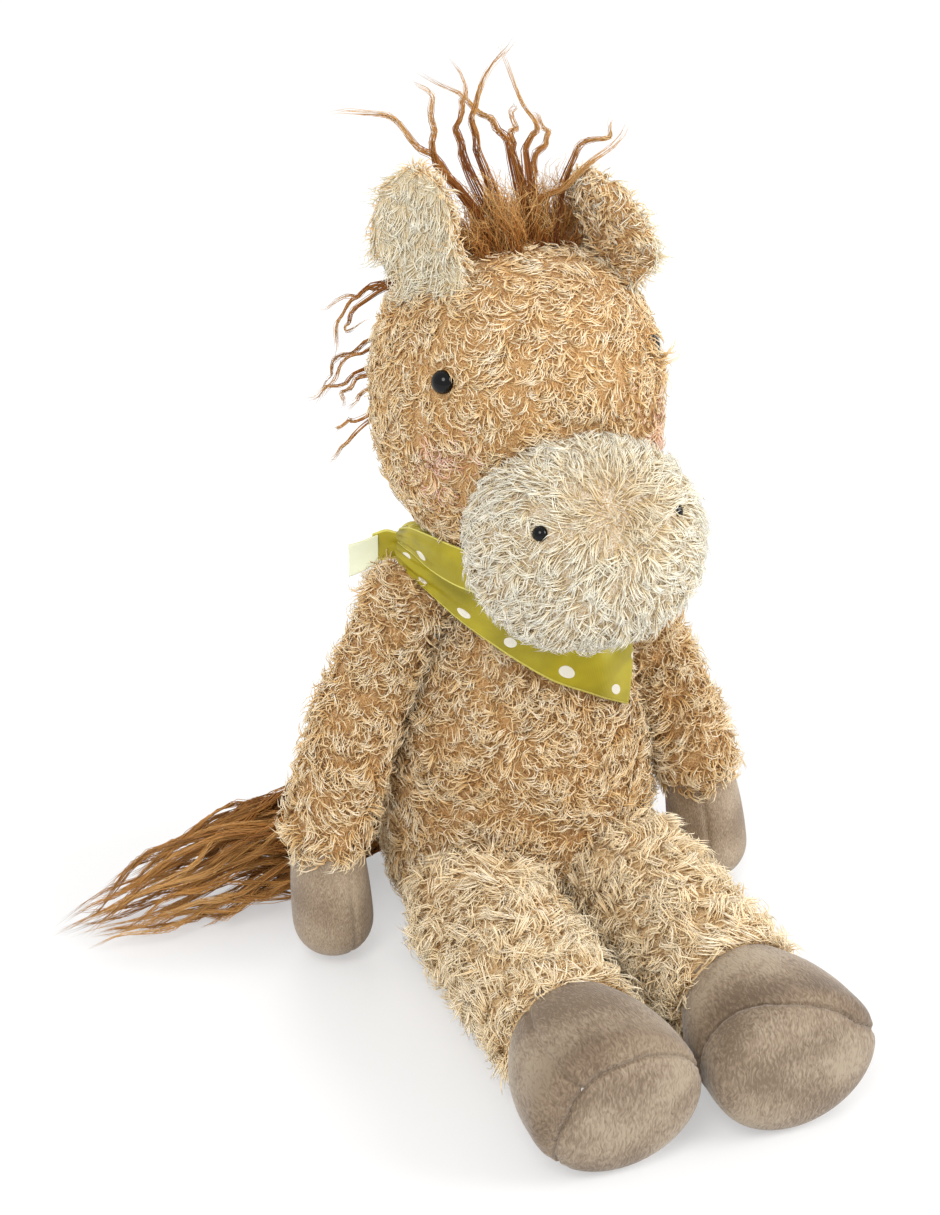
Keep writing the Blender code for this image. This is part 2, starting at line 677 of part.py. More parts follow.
class Limb:
    """Limb form: a ball at the seam, a run with given radii and a round end."""

    def __init__(self, path, radii, length, end, steps):
        self.path, self.radii, self.length, self.end, self.steps = path, radii, length, end, steps
        self.step = length / 100

    def root(self, inset):
        """Pole and rings of the ball at the seam."""
        radius = self.radii(0.0)[0] - inset
        centre, side, front = limb_frame(self.path, 0.0, self.step)
        along = front.cross(side).normalized()
        rings = [[centre - along * radius]]
        for step in range(1, 4):
            angle = math.pi / 2 * step / 4
            behind, reach = centre - along * radius * math.cos(angle), radius * math.sin(angle)
            ring = [side * math.cos(turn) + front * math.sin(turn) for turn in turns(SIDES)]
            rings.append([behind + out * reach for out in ring])
        return rings

    def run(self, start, stop, inset):
        """Rings between two distances."""
        places = [start] + [place for place in self.steps if start < place < stop] + [stop]
        return [
            limb_ring(self.path, place, self.radii(place)[0] - inset, self.radii(place)[1] - inset, self.step)
            for place in places
        ]

    def tip(self, inset, fullness=2.0):
        """Rings and pole of the round end."""
        start = self.length - self.end
        across, up = (size - inset for size in self.radii(start))
        rings = []
        for step in range(1, 5):
            angle = math.pi / 2 * step / 5
            share = math.cos(angle) ** (2 / fullness)
            place = start + (self.end - inset) * math.sin(angle) ** (2 / fullness)
            rings.append(limb_ring(self.path, place, across * share, up * share, self.step))
        centre = self.path(start + self.end - inset)
        return rings + [[centre]]


def arm_limb(side, path_shares):
    """Form of one arm, with its hoof."""
    drop = math.sqrt(ARM_LENGTH ** 2 - ARM_OUT ** 2)
    points = [
        (ARM_LENGTH * along, ARM_OUT * side * out, -ARM_FORWARD * forward, -drop * along)
        for along, out, forward in path_shares
    ]

    def radii(place):
        share = place / ARM_LENGTH
        if place <= WRIST:
            radius = SHOULDER_RADIUS * smooth(column(ARM_RADIUS_SHARES, 0), column(ARM_RADIUS_SHARES, 1),
                                              min(share, ARM_RADIUS_SHARES[-1][0]))
        else:
            part = min((place - WRIST) / (ARM_LENGTH - ARM_HOOF_END - WRIST), 1)
            radius = WRIST_RADIUS + (ARM_HOOF_RADIUS - WRIST_RADIUS) * math.sin(part * math.pi / 2)
        return radius, radius

    steps = [ARM_LENGTH * share for share in (0.12, 0.26, 0.40, 0.54, 0.78)]
    return Limb(LimbPath(points, (0, -1, 0)), radii, ARM_LENGTH, ARM_HOOF_END, steps)


def make_arm(name, side, path_shares, finishes, shoulder):
    """Arm sleeve, felt hoof and the stuffing that runs through both."""
    limb = arm_limb(side, path_shares)
    outer = limb.root(0.0) + limb.run(0.0, WRIST, 0.0)
    inner = limb.root(CLOTH) + limb.run(0.0, WRIST, CLOTH)
    add_object(f"{name}_sleeve", skinned(outer + inner[::-1]), finishes["tan_pile"], shoulder)
    hoof_start, bend = WRIST + GAP, ARM_LENGTH - ARM_HOOF_END
    outer = limb.run(hoof_start, bend, 0.0) + limb.tip(0.0)
    inner = limb.run(hoof_start, bend, FELT) + limb.tip(FELT)
    add_object(f"{name}_hoof", skinned(outer[::-1] + inner), finishes["hoof_felt"], shoulder)
    inset = CLOTH + GAP
    fill = limb.root(inset) + limb.run(0.0, WRIST, inset) + limb.run(hoof_start, bend, inset) + limb.tip(inset)
    add_object(f"{name}_stuffing", skinned(fill), finishes["stuffing"], shoulder)
    inward = Vector((-side, 0, 0))
    stitching(f"{name}_shoulder_stitching", finishes["thread"], shoulder, SHOULDER_RADIUS, inward,
              SHOULDER_SEAM_OPENING)


def leg_limb():
    """Form of one leg, with its hoof."""
    def radii(place):
        if place <= ANKLE:
            radius = HIP_RADIUS + (ANKLE_RADIUS - HIP_RADIUS) * place / ANKLE
            return radius, radius
        share = min((place - ANKLE) / (LEG_LENGTH - LEG_HOOF_END - ANKLE), 1)
        swell = smooth(column(LEG_HOOF_WALL_SHARES, 0), column(LEG_HOOF_WALL_SHARES, 1), share)
        return (ANKLE_RADIUS + (LEG_HOOF_HALF_WIDTH - ANKLE_RADIUS) * swell,
                ANKLE_RADIUS + (LEG_HOOF_HALF_HEIGHT - ANKLE_RADIUS) * swell)

    points = [(0, 0, 0, 0), (LEG_LENGTH / 2, 0, -LEG_LENGTH / 2, 0), (LEG_LENGTH, 0, -LEG_LENGTH, 0)]
    steps = [ANKLE * share for share in (0.3, 0.65, 1.06, 1.16, 1.3)]
    return Limb(LimbPath(points, (0, 0, 1)), radii, LEG_LENGTH, LEG_HOOF_END, steps)


def make_leg(name, finishes, hip):
    """Leg sleeve and stuffing, hoof wall and sole, and the pellet bag inside the hoof."""
    limb = leg_limb()
    outer = limb.root(0.0) + limb.run(0.0, ANKLE, 0.0)
    inner = limb.root(CLOTH) + limb.run(0.0, ANKLE, CLOTH)
    add_object(f"{name}_sleeve", skinned(outer + inner[::-1]), finishes["pale_pile"], hip)
    wall_start, sole = ANKLE + GAP, LEG_LENGTH - LEG_HOOF_END
    outer = limb.run(wall_start, sole, 0.0)
    inner = limb.run(wall_start, sole, FELT)
    add_object(f"{name}_hoof_wall", skinned(outer + inner[::-1], looped=True), finishes["hoof_plush"], hip)

    start = sole + GAP
    outer = limb.run(start, start, 0.0)[:1] + limb.tip(0.0, SOLE_FULLNESS)
    inner = limb.run(start, start, FELT)[:1] + limb.tip(FELT, SOLE_FULLNESS)
    add_object(f"{name}_hoof_sole", skinned(outer[::-1] + inner), finishes["hoof_plush"], hip)

    inset, end = CLOTH + GAP, ANKLE - ANKLE_BAG_SETBACK
    fill = limb.root(inset) + limb.run(0.0, end, inset)
    add_object(f"{name}_stuffing", skinned(fill + [[limb.path(end)]]), finishes["stuffing"], hip)
    inset, start = FELT + GAP, end + GAP
    throat = limb.run(start, ANKLE, CLOTH + GAP)
    bag = [[limb.path(start)]] + throat + limb.run(wall_start, sole, inset)[1:] + limb.tip(inset, SOLE_FULLNESS)
    add_object(f"{name}_hoof_pellet_bag", skinned(bag), finishes["pellets"], hip)
    stitching(f"{name}_hip_stitching", finishes["thread"], hip, HIP_RADIUS, Vector((0, 1, 0)), HIP_SEAM_OPENING)


# Hair: tapered locks from a sewn root
def lock_rings(points, start_radius, end_radius):
    """Rings of a lock that tapers along a smooth line through its points."""
    points = np.array(points, dtype=float)
    stations = np.linspace(0, 1, len(points))
    shares = np.linspace(0, 1, LOCK_STEPS)
    line = np.stack([smooth(stations, points[:, i], shares) for i in range(3)], axis=1)
    rings = []
    for index, share in enumerate(shares):
        along = Vector(line[min(index + 1, LOCK_STEPS - 1)] - line[max(index - 1, 0)]).normalized()
        side = along.cross(Vector((0, 1, 0)) if abs(along.y) < 0.9 else Vector((1, 0, 0))).normalized()
        front = side.cross(along)
        radius = start_radius + (end_radius - start_radius) * share
        rings.append([
            Vector(line[index]) + (side * math.cos(turn) + front * math.sin(turn)) * radius
            for turn in turns(LOCK_SIDES)
        ])
    return [[line[0]]] + rings + [[line[-1]]]


def make_hair(name, pad, locks, finish, neck, trims):
    """Sewn pad with its locks joined to it, trimmed to lie on the head."""
    made = add_object(name, pad, finish, neck)
    for index, rings in enumerate(locks):
        cut(made, cutter(f"{name}_lock_{index + 1}", skinned(rings), neck), "UNION")
    for tool in trims:
        cut(made, tool)
    return made


def make_forelock(finishes, neck):
    """Fan of locks sewn into the top of the head."""
    top = HEAD_RISE + HEAD_HALF_HEIGHT
    centre = Vector((0, -HEAD_FORWARD, top))
    pad = skinned(oval_rings(centre, (FORELOCK_HALF_WIDTH, FORELOCK_HALF_DEPTH, FORELOCK_PAD), 2.0, steps=8))
    locks = []
    for across, back, up in FORELOCK_TIP_SHARES:
        beside = across * FORELOCK_HALF_WIDTH * FORELOCK_ROOT_SHARE
        root = centre + Vector((beside, back * FORELOCK_HALF_DEPTH, 0))
        tip = root + Vector((across, back, up)) * FORELOCK_HEIGHT
        reach = Vector((across, back, up)) * FORELOCK_HEIGHT
        low, high = (
            root + Vector([size * part for size, part in zip(reach, bend)]) for bend in FORELOCK_BEND_SHARES)
        locks.append(lock_rings([root, low, high, tip], LOCK_ROOT_RADIUS, LOCK_TIP_RADIUS))
    head = cutter("forelock_seat_cutter", skinned(oval_rings(*head_form(), -GAP)), neck)
    make_hair("forelock", pad, locks, finishes["hair"], neck, [head])


def make_mane(finishes, neck):
    """Locks sewn down the back of the head, falling to the right."""
    centre, half_sizes, squareness = head_form()
    line = []
    for share in np.linspace(0, 1, LOCK_STEPS):
        rise = MANE_TOP - (MANE_TOP + MANE_FOOT) * share
        place, outward = oval_place(centre, half_sizes, squareness, math.pi, rise)
        line.append(place + outward * MANE_RADIUS / 2)
    crest = skinned(lock_rings(line, MANE_RADIUS, MANE_RADIUS))
    locks = []
    for index, (reach, back, drop) in enumerate(MANE_TIP_SHARES):
        place = (index + 0.5) / len(MANE_TIP_SHARES) * (LOCK_STEPS - 1)
        root = line[int(place)].lerp(line[int(place) + 1], place % 1)
        tip = root + Vector((-reach, back, drop / 2)) * MANE_REACH
        middle = root.lerp(tip, 0.5) + Vector((0, back, MANE_BEND_SHARE)) * MANE_REACH
        locks.append(lock_rings([root, middle, tip], MANE_LOCK_RADIUS, LOCK_TIP_RADIUS))
    head = cutter("mane_seat_cutter", skinned(oval_rings(*head_form(), -GAP)), neck)
    make_hair("mane", crest, locks, finishes["hair"], neck, [head])


def make_tail(finishes):
    """Thick lock sewn at the back of the seat and swept round the right side on the floor."""
    root = tail_spot()
    hinge = pivot("tail_seam", root)
    points = [(TAIL_LENGTH * out, -TAIL_LENGTH * out, TAIL_LENGTH * back, TAIL_HEIGHT * up)
              for out, back, up in TAIL_PATH_SHARES]

    def radii(place):
        radius = TAIL_THICKNESS * smooth(column(TAIL_RADIUS_SHARES, 0), column(TAIL_RADIUS_SHARES, 1),
                                         min(place / TAIL_LENGTH, 1))
        return radius, radius

    steps = [TAIL_LENGTH * share for share in (0.06, 0.14, 0.26, 0.4, 0.55, 0.7, 0.85)]
    limb = Limb(LimbPath(points, (0, 0, 1)), radii, TAIL_LENGTH, 0.0, steps)
    rings = limb.root(0.0) + limb.run(0.0, TAIL_LENGTH, 0.0)
    floor = TAIL_FLOOR - root.z
    rings = [[Vector((point[0], point[1], max(point[2], floor))) for point in ring] for ring in rings]
    tip = Vector(np.mean(np.array(rings[-1]), axis=0))
    add_object("tail", skinned(rings + [[tip]]), finishes["hair"], hinge)


# The ribbon: a band in the neck crease, a knot at the right and two flat tails
def knot_rings(outset=0.0):
    """Knot form at the right of the neck."""
    centre = Vector((-KNOT_OUT, KNOT_BACK, NECK_HEIGHT + KNOT_RISE))
    sizes = (KNOT_HALF_LENGTH, KNOT_HALF_LENGTH, KNOT_HALF_HEIGHT)
    return oval_rings(centre, sizes, 2.0, -outset, 8)


def band_rings():
    """Closed band in the neck crease, higher over the shoulders than at the front and back."""
    rings = []
    for turn in turns(SIDES + SIDES // 2):
        height = NECK_HEIGHT + BAND_RISE + BAND_SADDLE * math.cos(2 * turn)
        section = []
        for side, rise in ((0, -1), (0.7, -0.8), (1, 0), (0.7, 0.8), (0, 1), (0, 0)):
            level = height + rise * BAND_HALF_HEIGHT
            place = body_place(turn, level, GAP * 2 + BAND_THICKNESS * side)
            section.append(place)
        rings.append(section)
    return rings


def flat_tail(points, lean):
    """Flat strip along a line; each point gives its place and half width."""
    points = np.array(points, dtype=float)
    stations = np.linspace(0, 1, len(points))
    shares = np.linspace(0, 1, 9)
    line = np.stack([smooth(stations, points[:, i], shares) for i in range(4)], axis=1)
    rings = []
    for index in range(len(shares)):
        ahead = line[min(index + 1, len(shares) - 1), :3] - line[max(index - 1, 0), :3]
        along = Vector(ahead).normalized()
        face = along.cross(Vector((0, 0, 1))).normalized()
        rise = face.cross(along).normalized()
        rise = (rise * math.cos(lean) + face * math.sin(lean)).normalized()
        normal = along.cross(rise).normalized()
        centre = Vector(line[index, :3])
        edge = [centre + rise * line[index, 3] * u for u in (-1, -0.5, 0, 0.5, 1)]
        rings.append([spot + normal * RIBBON / 2 for spot in edge]
                     + [spot - normal * RIBBON / 2 for spot in reversed(edge)])
    start, finish = (np.mean(np.array(ring), axis=0) for ring in (rings[0], rings[-1]))
    return skinned([[start], *rings, [finish]])


def make_ribbon(finishes):
    """Band, knot and the two tails, cut clear of the knot."""
    add_object("ribbon_knot", skinned(knot_rings()), finishes["ribbon"])
    room = cutter("knot_cutter", skinned(knot_rings(GAP)))
    band = add_object("ribbon_band", skinned(band_rings(), looped=True), finishes["ribbon"])
    cut(band, room)
    start = Vector((-KNOT_OUT, KNOT_BACK, NECK_HEIGHT + KNOT_RISE))
    front = [
        (start.x + FRONT_TAIL_ACROSS * across, start.y - FRONT_TAIL_FORWARD * forward,
         start.z + FRONT_TAIL_DROP * drop, RIBBON_HALF_WIDTH * half)
        for across, forward, drop, half in FRONT_TAIL_PATH_SHARES
    ]
    cut(add_object("ribbon_front_tail", flat_tail(front, RIBBON_LEAN), finishes["ribbon"]), room)
    back = [
        (start.x - BACK_TAIL_LENGTH * out, start.y + BACK_TAIL_LENGTH * behind,
         start.z + BACK_TAIL_LENGTH * rise, RIBBON_HALF_WIDTH * half)
        for out, behind, rise, half in BACK_TAIL_PATH_SHARES
    ]
    cut(add_object("ribbon_back_tail", flat_tail(back, 0.0), finishes["ribbon"]), room)


def make_finishes():
    """One material for each cloth, bead, hair and filling."""
    return {
        "tan_pile": material("tan_pile", "CDA877", 0.95),
        "pale_pile": material("pale_pile", "E0C69A", 0.95),
        "cream_pile": material("cream_pile", "E6DBBE", 0.95),
        "ear_lining": material("ear_lining", "E4DDC8", 0.95),
        "hoof_felt": material("hoof_felt", "8F7D6A", 0.9),
        "hoof_plush": material("hoof_plush", "94826F", 0.85),
        "black_gloss": material("black_gloss", "0A0908", 0.08),
        "washer": material("washer", "E8E8E4", 0.5),
        "hair": material("hair", "8A5A28", 0.6),
        "ribbon": material("ribbon", "B2A228", 0.4),
        "thread": material("thread", "B99B6E", 0.8),
        "stuffing": material("stuffing", "F2F0EA", 1.0),
        "pellets": material("pellets", "D9D6CE", 0.8),
    }


def main():
    for old in list(bpy.data.objects):
        bpy.data.objects.remove(old, do_unlink=True)
    finishes = make_finishes()
    make_body(finishes)

    neck = pivot("neck_seam", (0, NECK_SETBACK, NECK_HEIGHT))
    head_layers = make_head(finishes, neck)
    muzzle_layers = make_muzzle(finishes, neck)
    make_beads(finishes, neck, head_layers, muzzle_layers)
    right_ear = ear_frame(-RIGHT_EAR_SPREAD, RIGHT_EAR_LEAN, RIGHT_EAR_TIP_IN, RIGHT_EAR_BEARING)
    make_ear("right_ear", finishes, neck, right_ear)
    left_ear = ear_frame(LEFT_EAR_SPREAD, LEFT_EAR_LEAN, LEFT_EAR_TIP_IN, LEFT_EAR_BEARING)
    make_ear("left_ear", finishes, neck, left_ear)
    make_forelock(finishes, neck)
    make_mane(finishes, neck)
    stitching("neck_stitching", finishes["thread"], neck, NECK_RADIUS, Vector((0, 0, 1)), NECK_SEAM_OPENING)

    seams = seam_spots()
    sides = (
        ("right", -1, RIGHT_ARM_PATH_SHARES, RIGHT_LEG_TURN),
        ("left", 1, LEFT_ARM_PATH_SHARES, LEFT_LEG_TURN),
    )
    for name, side, arm_path, turn in sides:
        shoulder = pivot(f"{name}_shoulder_seam", seams[f"{name}_shoulder"][0])
        make_arm(f"{name}_arm", side, arm_path, finishes, shoulder)
        hip = pivot(f"{name}_hip_seam", seams[f"{name}_hip"][0], turn)
        make_leg(f"{name}_leg", finishes, hip)
    make_tail(finishes)
    make_ribbon(finishes)


main()
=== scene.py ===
"""Dresses the seated plush horse: curly pile, felt and minky hooves, wool hair, beads and a dotted satin ribbon."""
import math

import bpy
import numpy as np
from bpy.props import FloatProperty, FloatVectorProperty, PointerProperty
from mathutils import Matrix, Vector


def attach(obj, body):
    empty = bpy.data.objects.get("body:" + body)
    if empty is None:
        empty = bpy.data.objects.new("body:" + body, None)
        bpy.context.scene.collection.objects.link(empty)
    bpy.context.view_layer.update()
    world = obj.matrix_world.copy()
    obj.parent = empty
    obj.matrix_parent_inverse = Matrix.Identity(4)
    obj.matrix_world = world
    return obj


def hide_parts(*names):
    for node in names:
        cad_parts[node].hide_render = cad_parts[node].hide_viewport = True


bl_info = {
    "name": "Plush horse",
    "version": (1, 0, 0),
    "blender": (4, 5, 0),
    "location": "3D View > Sidebar > Plush horse",
    "description": "Makes a seated plush horse with jointed head, ears, arms, legs and tail",
    "category": "Add Mesh",
}

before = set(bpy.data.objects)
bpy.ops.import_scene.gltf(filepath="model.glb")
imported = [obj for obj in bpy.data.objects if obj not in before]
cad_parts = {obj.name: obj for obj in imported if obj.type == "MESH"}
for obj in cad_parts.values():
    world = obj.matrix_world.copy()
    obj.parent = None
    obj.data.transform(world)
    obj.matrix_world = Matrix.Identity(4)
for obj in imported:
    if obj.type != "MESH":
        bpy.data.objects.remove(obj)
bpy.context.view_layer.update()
MM = 0.001
EYE_BEARINGS, EYE_RISE = (-51.5, 57), 23.5 * MM
NOSTRIL_BEARINGS, NOSTRIL_RISE = (-48, 48), 18 * MM
# The left beads, away from the photo's camera, lie deeper in the pile
BEAD_STAND = {"right": 0.4 * MM, "left": -1.0 * MM}
EYE_CLEARINGS, NOSTRIL_CLEARINGS = (3.8 * MM, 3.3 * MM), (2.6 * MM, 1.3 * MM)
SATIN_CLEARING = 2.3 * MM
FLOOR_GAP = 0.3 * MM
BACKING_STANDS = 0.4 * MM
HOOF_COLUMNS, ARM_HOOF_COLUMNS = 192, 144
WOOL_WIDTH, TAIL_WOOL_WIDTH = 0.34 * MM, 0.5 * MM
SATIN_THICKNESS = 0.35 * MM
# Satin: printed dots and woven edge in millimetres, and how much of the map's height each side of it takes
DOT_RADIUS, DOT_PERIOD, EDGE_WIDTH = 2.5, (20.5, 36.0), 0.8
SIDE_SHARE = 0.46


def linear(hex_colour):
    """Linear channels of an sRGB hex colour."""
    channels = [int(hex_colour[i:i + 2], 16) / 255 for i in (0, 2, 4)]
    return tuple(c / 12.92 if c <= 0.04045 else ((c + 0.055) / 1.055) ** 2.4 for c in channels)


def length(name, description, default):
    """Size in metres."""
    return FloatProperty(name=name, description=description, default=default, unit="LENGTH", precision=4)


def turn(name, description, degrees):
    """Angle."""
    return FloatProperty(name=name, description=description, default=math.radians(degrees), subtype="ANGLE")


def share(name, description, default):
    """Plain number, such as a share or a count for each square millimetre."""
    return FloatProperty(name=name, description=description, default=default)


def colour(name, description, hex_colour):
    """Colour, kept as linear channels."""
    return FloatVectorProperty(name=name, description=description, default=linear(hex_colour), subtype="COLOR")


class HorseForm(bpy.types.PropertyGroup):
    """Sizes of the sewn forms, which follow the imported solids."""
    body_half_width: length("Body half width", "Widest half width of the body", 0.0490)
    body_front: length("Body front", "Furthest reach of the belly", 0.0425)
    body_back: length("Body back", "Furthest reach of the back", 0.0395)
    neck_height: length("Neck height", "Height of the neck seam's centre", 0.1480)
    neck_setback: length("Neck setback", "How far back the neck seam's centre lies", 0.0020)
    neck_radius: length("Neck radius", "Radius of the neck", 0.0260)
    head_half_width: length("Head half width", "Half width of the head", 0.0480)
    head_half_depth: length("Head half depth", "Half depth of the head", 0.0470)
    head_half_height: length("Head half height", "Half height of the head", 0.0540)
    head_rise: length("Head rise", "Height of the head's centre above the neck seam", 0.0665)
    head_forward: length("Head forward", "How far forward of the neck seam the head's centre lies", 0.0080)
    head_off_centre: length("Head off centre", "How far the head leans to its right", 0.0032)
    head_squareness: share("Head squareness", "2 is a ball and more is a block", 2.4)
    muzzle_half_width: length("Muzzle half width", "Half width of the muzzle", 0.0385)
    muzzle_half_depth: length("Muzzle half depth", "Half depth of the muzzle", 0.0340)
    muzzle_half_height: length("Muzzle half height", "Half height of the muzzle", 0.0335)
    muzzle_forward: length("Muzzle forward", "How far forward of the neck seam the muzzle's centre lies", 0.0670)
    muzzle_rise: length("Muzzle rise", "Height of the muzzle's centre above the neck seam", 0.0380)
    muzzle_off_centre: length("Muzzle off centre", "How far the muzzle leans to its right", 0.0010)
    muzzle_squareness: share("Muzzle squareness", "2 is a ball and more is a block", 2.2)
    ear_height: length("Ear height", "Height of each ear from its hinge", 0.0360)
    ear_half_width: length("Ear half width", "Half width of each ear", 0.0175)
    ear_cup: length("Ear cup", "How far the ear's edges curl towards its lining", 0.0065)
    ear_thickness: length("Ear thickness", "Thickness of each ear cloth", 0.0022)
    shoulder_spread: length("Shoulder spread", "Distance of each shoulder seam from the middle", 0.0440)
    shoulder_height: length("Shoulder height", "Height of each shoulder seam", 0.1380)
    shoulder_forward: length("Shoulder forward", "How far forward each shoulder seam lies", 0.0030)
    shoulder_radius: length("Shoulder radius", "Radius of the arm at the shoulder", 0.0145)
    arm_out: length("Arm out", "How far the arm reaches sideways", 0.0305)
    arm_forward: length("Arm forward", "How far the arm reaches forward", 0.0070)
    arm_length: length("Arm length", "Length of the arm with its hoof", 0.1380)
    wrist: length("Wrist", "Distance from the shoulder to the arm's hoof", 0.0900)
    wrist_radius: length("Wrist radius", "Radius of the wrist", 0.0128)
    arm_hoof_radius: length("Arm hoof radius", "Radius of the arm's hoof", 0.0148)
    arm_hoof_end: length("Arm hoof end", "Length of the arm hoof's round end", 0.0150)
    hip_spread: length("Hip spread", "Distance of each hip seam from the middle", 0.0290)
    hip_forward: length("Hip forward", "How far forward each hip seam lies", 0.0400)
    hip_height: length("Hip height", "Height of each hip seam", 0.0278)
    hip_radius: length("Hip radius", "Radius of the leg at the hip", 0.0228)
    leg_length: length("Leg length", "Length of the leg with its hoof", 0.1300)
    ankle: length("Ankle", "Distance from the hip to the leg's hoof", 0.0810)
    ankle_radius: length("Ankle radius", "Radius of the ankle", 0.0218)
    hoof_half_width: length("Hoof half width", "Half width of the leg's hoof", 0.0310)
    hoof_half_height: length("Hoof half height", "Half height of the leg's hoof", 0.0270)
    hoof_end: length("Hoof end", "Depth of the leg hoof's round sole", 0.0120)
    sole_fullness: share("Sole fullness", "2 is a round sole and more is a flat one", 3.0)
    right_leg_turn: turn("Right leg turn", "How far the right leg turns from straight ahead", 2.0)
    left_leg_turn: turn("Left leg turn", "How far the left leg turns from straight ahead", 5.5)


class PileForm(bpy.types.PropertyGroup):
    """Sizes of the pile: how many fibres, how long and how they curl."""
    density: share("Fibres per square millimetre", "Fibres for each square millimetre of cloth", 0.59)
    width: length("Fibre width", "Width of a fibre at its root, drawn as coarse as the render can show", 0.00057)
    curly_reach: length("Curly reach", "Length that a curly fibre lies along the cloth", 0.0096)
    curly_rise: length("Curly rise", "Height of the curly pile", 0.0036)
    head_reach: length("Head reach", "Length that a head fibre lies along the cloth", 0.0084)
    head_rise: length("Head rise", "Height of the head's pile", 0.0021)
    ear_reach: length("Ear reach", "Length that a fibre of an ear's back lies along the cloth", 0.0062)
    ear_rise: length("Ear rise", "Height of an ear's pile", 0.0024)
    leg_reach: length("Leg reach", "Length that a leg fibre lies along the cloth", 0.0110)
    leg_rise: length("Leg rise", "Height of the leg pile", 0.0052)
    muzzle_reach: length("Muzzle reach", "Length that a muzzle fibre lies along the cloth", 0.0088)
    muzzle_rise: length("Muzzle rise", "Height of the muzzle pile", 0.0023)
    lining_reach: length("Lining reach", "Length that an ear lining fibre lies along the cloth", 0.0085)


class Finishes(bpy.types.PropertyGroup):
    """Colours of the cloths, hair, beads and ribbon."""
    # Painted shade: the deep dyes are the darker ends of each pile's tones, which the low stray fibres take for the
    # shade deep in the pile
    tan_deep: colour("Tan depth", "Curly pile between the tufts", "E8C28A")
    tan_mid: colour("Tan", "Curly pile", "FAE2B6")
    tan_tip: colour("Tan tips", "Light tips of the curly pile", "FFF5E0")
    pale_deep: colour("Pale depth", "Leg pile between the tufts", "FADCAA")
    pale_mid: colour("Pale", "Leg pile", "FFECC6")
    pale_tip: colour("Pale tips", "Light tips of the leg pile", "FFF2DA")
    cream_deep: colour("Cream depth", "Muzzle pile in the middle", "DEC89E")
    cream_mid: colour("Cream", "Muzzle pile", "F6F0DC")
    cream_tip: colour("Cream tips", "Light tips of the muzzle pile", "FBF8EC")
    lining: colour("Ear lining", "Pile of the ear lining", "F3ECD6")
    blush: colour("Blush", "Sprayed pink on the cheeks", "FFD8C6")
    # Painted shade: the root shade is multiplied into each fibre towards its root, and into the backings under the pile
    root: colour("Root shade", "Shade that the pile's depth takes, multiplied with its dye", "C29C66")
    # The hoof's dark and light are partly the nap's grain and partly painted shade and painted sheen, as brushed cloth
    # catches the light one way and not the other
    hoof: colour("Hoof", "Brushed cloth of the hooves", "9D8972")
    hoof_nap_and_shade: colour("Hoof, dark", "Hoof cloth brushed the other way", "816D57")
    hoof_nap_and_sheen: colour("Hoof, light", "Hoof cloth that catches the light", "B5A38B")
    hair: colour("Hair", "Wool of the forelock, mane and tail", "CE9650")
    hair_dark: colour("Hair, dark", "Dark wool fibres", "84592C")
    hair_light: colour("Hair, light", "Light wool fibres", "F2D296")
    ribbon: colour("Ribbon", "Satin of the ribbon", "A89A1E")
    ribbon_edge: colour("Ribbon edge", "Woven edge of the ribbon", "DCD468")
    ribbon_back: colour("Ribbon back", "Reverse of the ribbon", "EEF4D8")
    dot: colour("Dot", "Printed dots", "E4E0D2")
    bead: colour("Bead", "Glossy beads", "060505")


class Studio(bpy.types.PropertyGroup):
    """Camera and lights."""
    distance: length("Camera distance", "Distance of the camera from its target", 1.2)
    azimuth: turn("Camera azimuth", "Turn of the camera to the horse's right", 20)
    elevation: turn("Camera elevation", "Height angle of the camera", 29)
    lens: share("Lens", "Focal length in millimetres", 99.6)
    key: share("Key light", "Power of the key light in watts", 16.5)
    fill: share("Fill light", "Power of the fill light in watts", 20)
    back: share("Back light", "Power of the light behind the horse in watts", 7)
    ambient: share("Ambient", "Strength of the surrounding light", 0.80)


def settings():
    """Property groups of the scene."""
    scene = bpy.context.scene
    return scene.horse_form, scene.horse_pile, scene.horse_finishes, scene.horse_studio


# Tables of shares, as in the solids, except that the left arm hangs nearer to the body, as in the photo
BODY_SHARES = np.array([
    (0.00, 0.10), (0.03, 0.40), (0.08, 0.68), (0.16, 0.88), (0.25, 0.97), (0.34, 1.00), (0.45, 0.97),
    (0.55, 0.90), (0.65, 0.77), (0.75, 0.59), (0.84, 0.38), (0.91, 0.20), (1.00, 0.00)])
EAR_WIDTH_SHARES = np.array([
    (0.00, 0.80), (0.15, 0.94), (0.35, 1.00), (0.55, 0.96), (0.72, 0.83), (0.86, 0.61), (0.95, 0.40), (1.00, 0.22)])
RIGHT_ARM_SHARES = np.array([(0.0, 0.0, 0.0), (0.35, 0.68, 0.5), (0.66, 1.06, 1.0), (1.00, 0.98, 0.9)])
LEFT_ARM_SHARES = np.array([
    (0.0, -0.16, 0.0), (0.15, -0.02, 0.2), (0.35, 0.30, 0.5), (0.50, 0.58, 0.8), (0.66, 0.82, 1.0), (1.00, 1.06, 0.9)])
ARM_RADIUS_SHARES = np.array([(0.0, 0.84), (0.15, 0.92), (0.38, 1.01), (0.58, 0.95), (0.70, 0.88)])
HOOF_WALL_SHARES = np.array([(0.0, 0.0), (0.18, 0.36), (0.45, 0.76), (0.75, 0.96), (1.0, 1.0)])


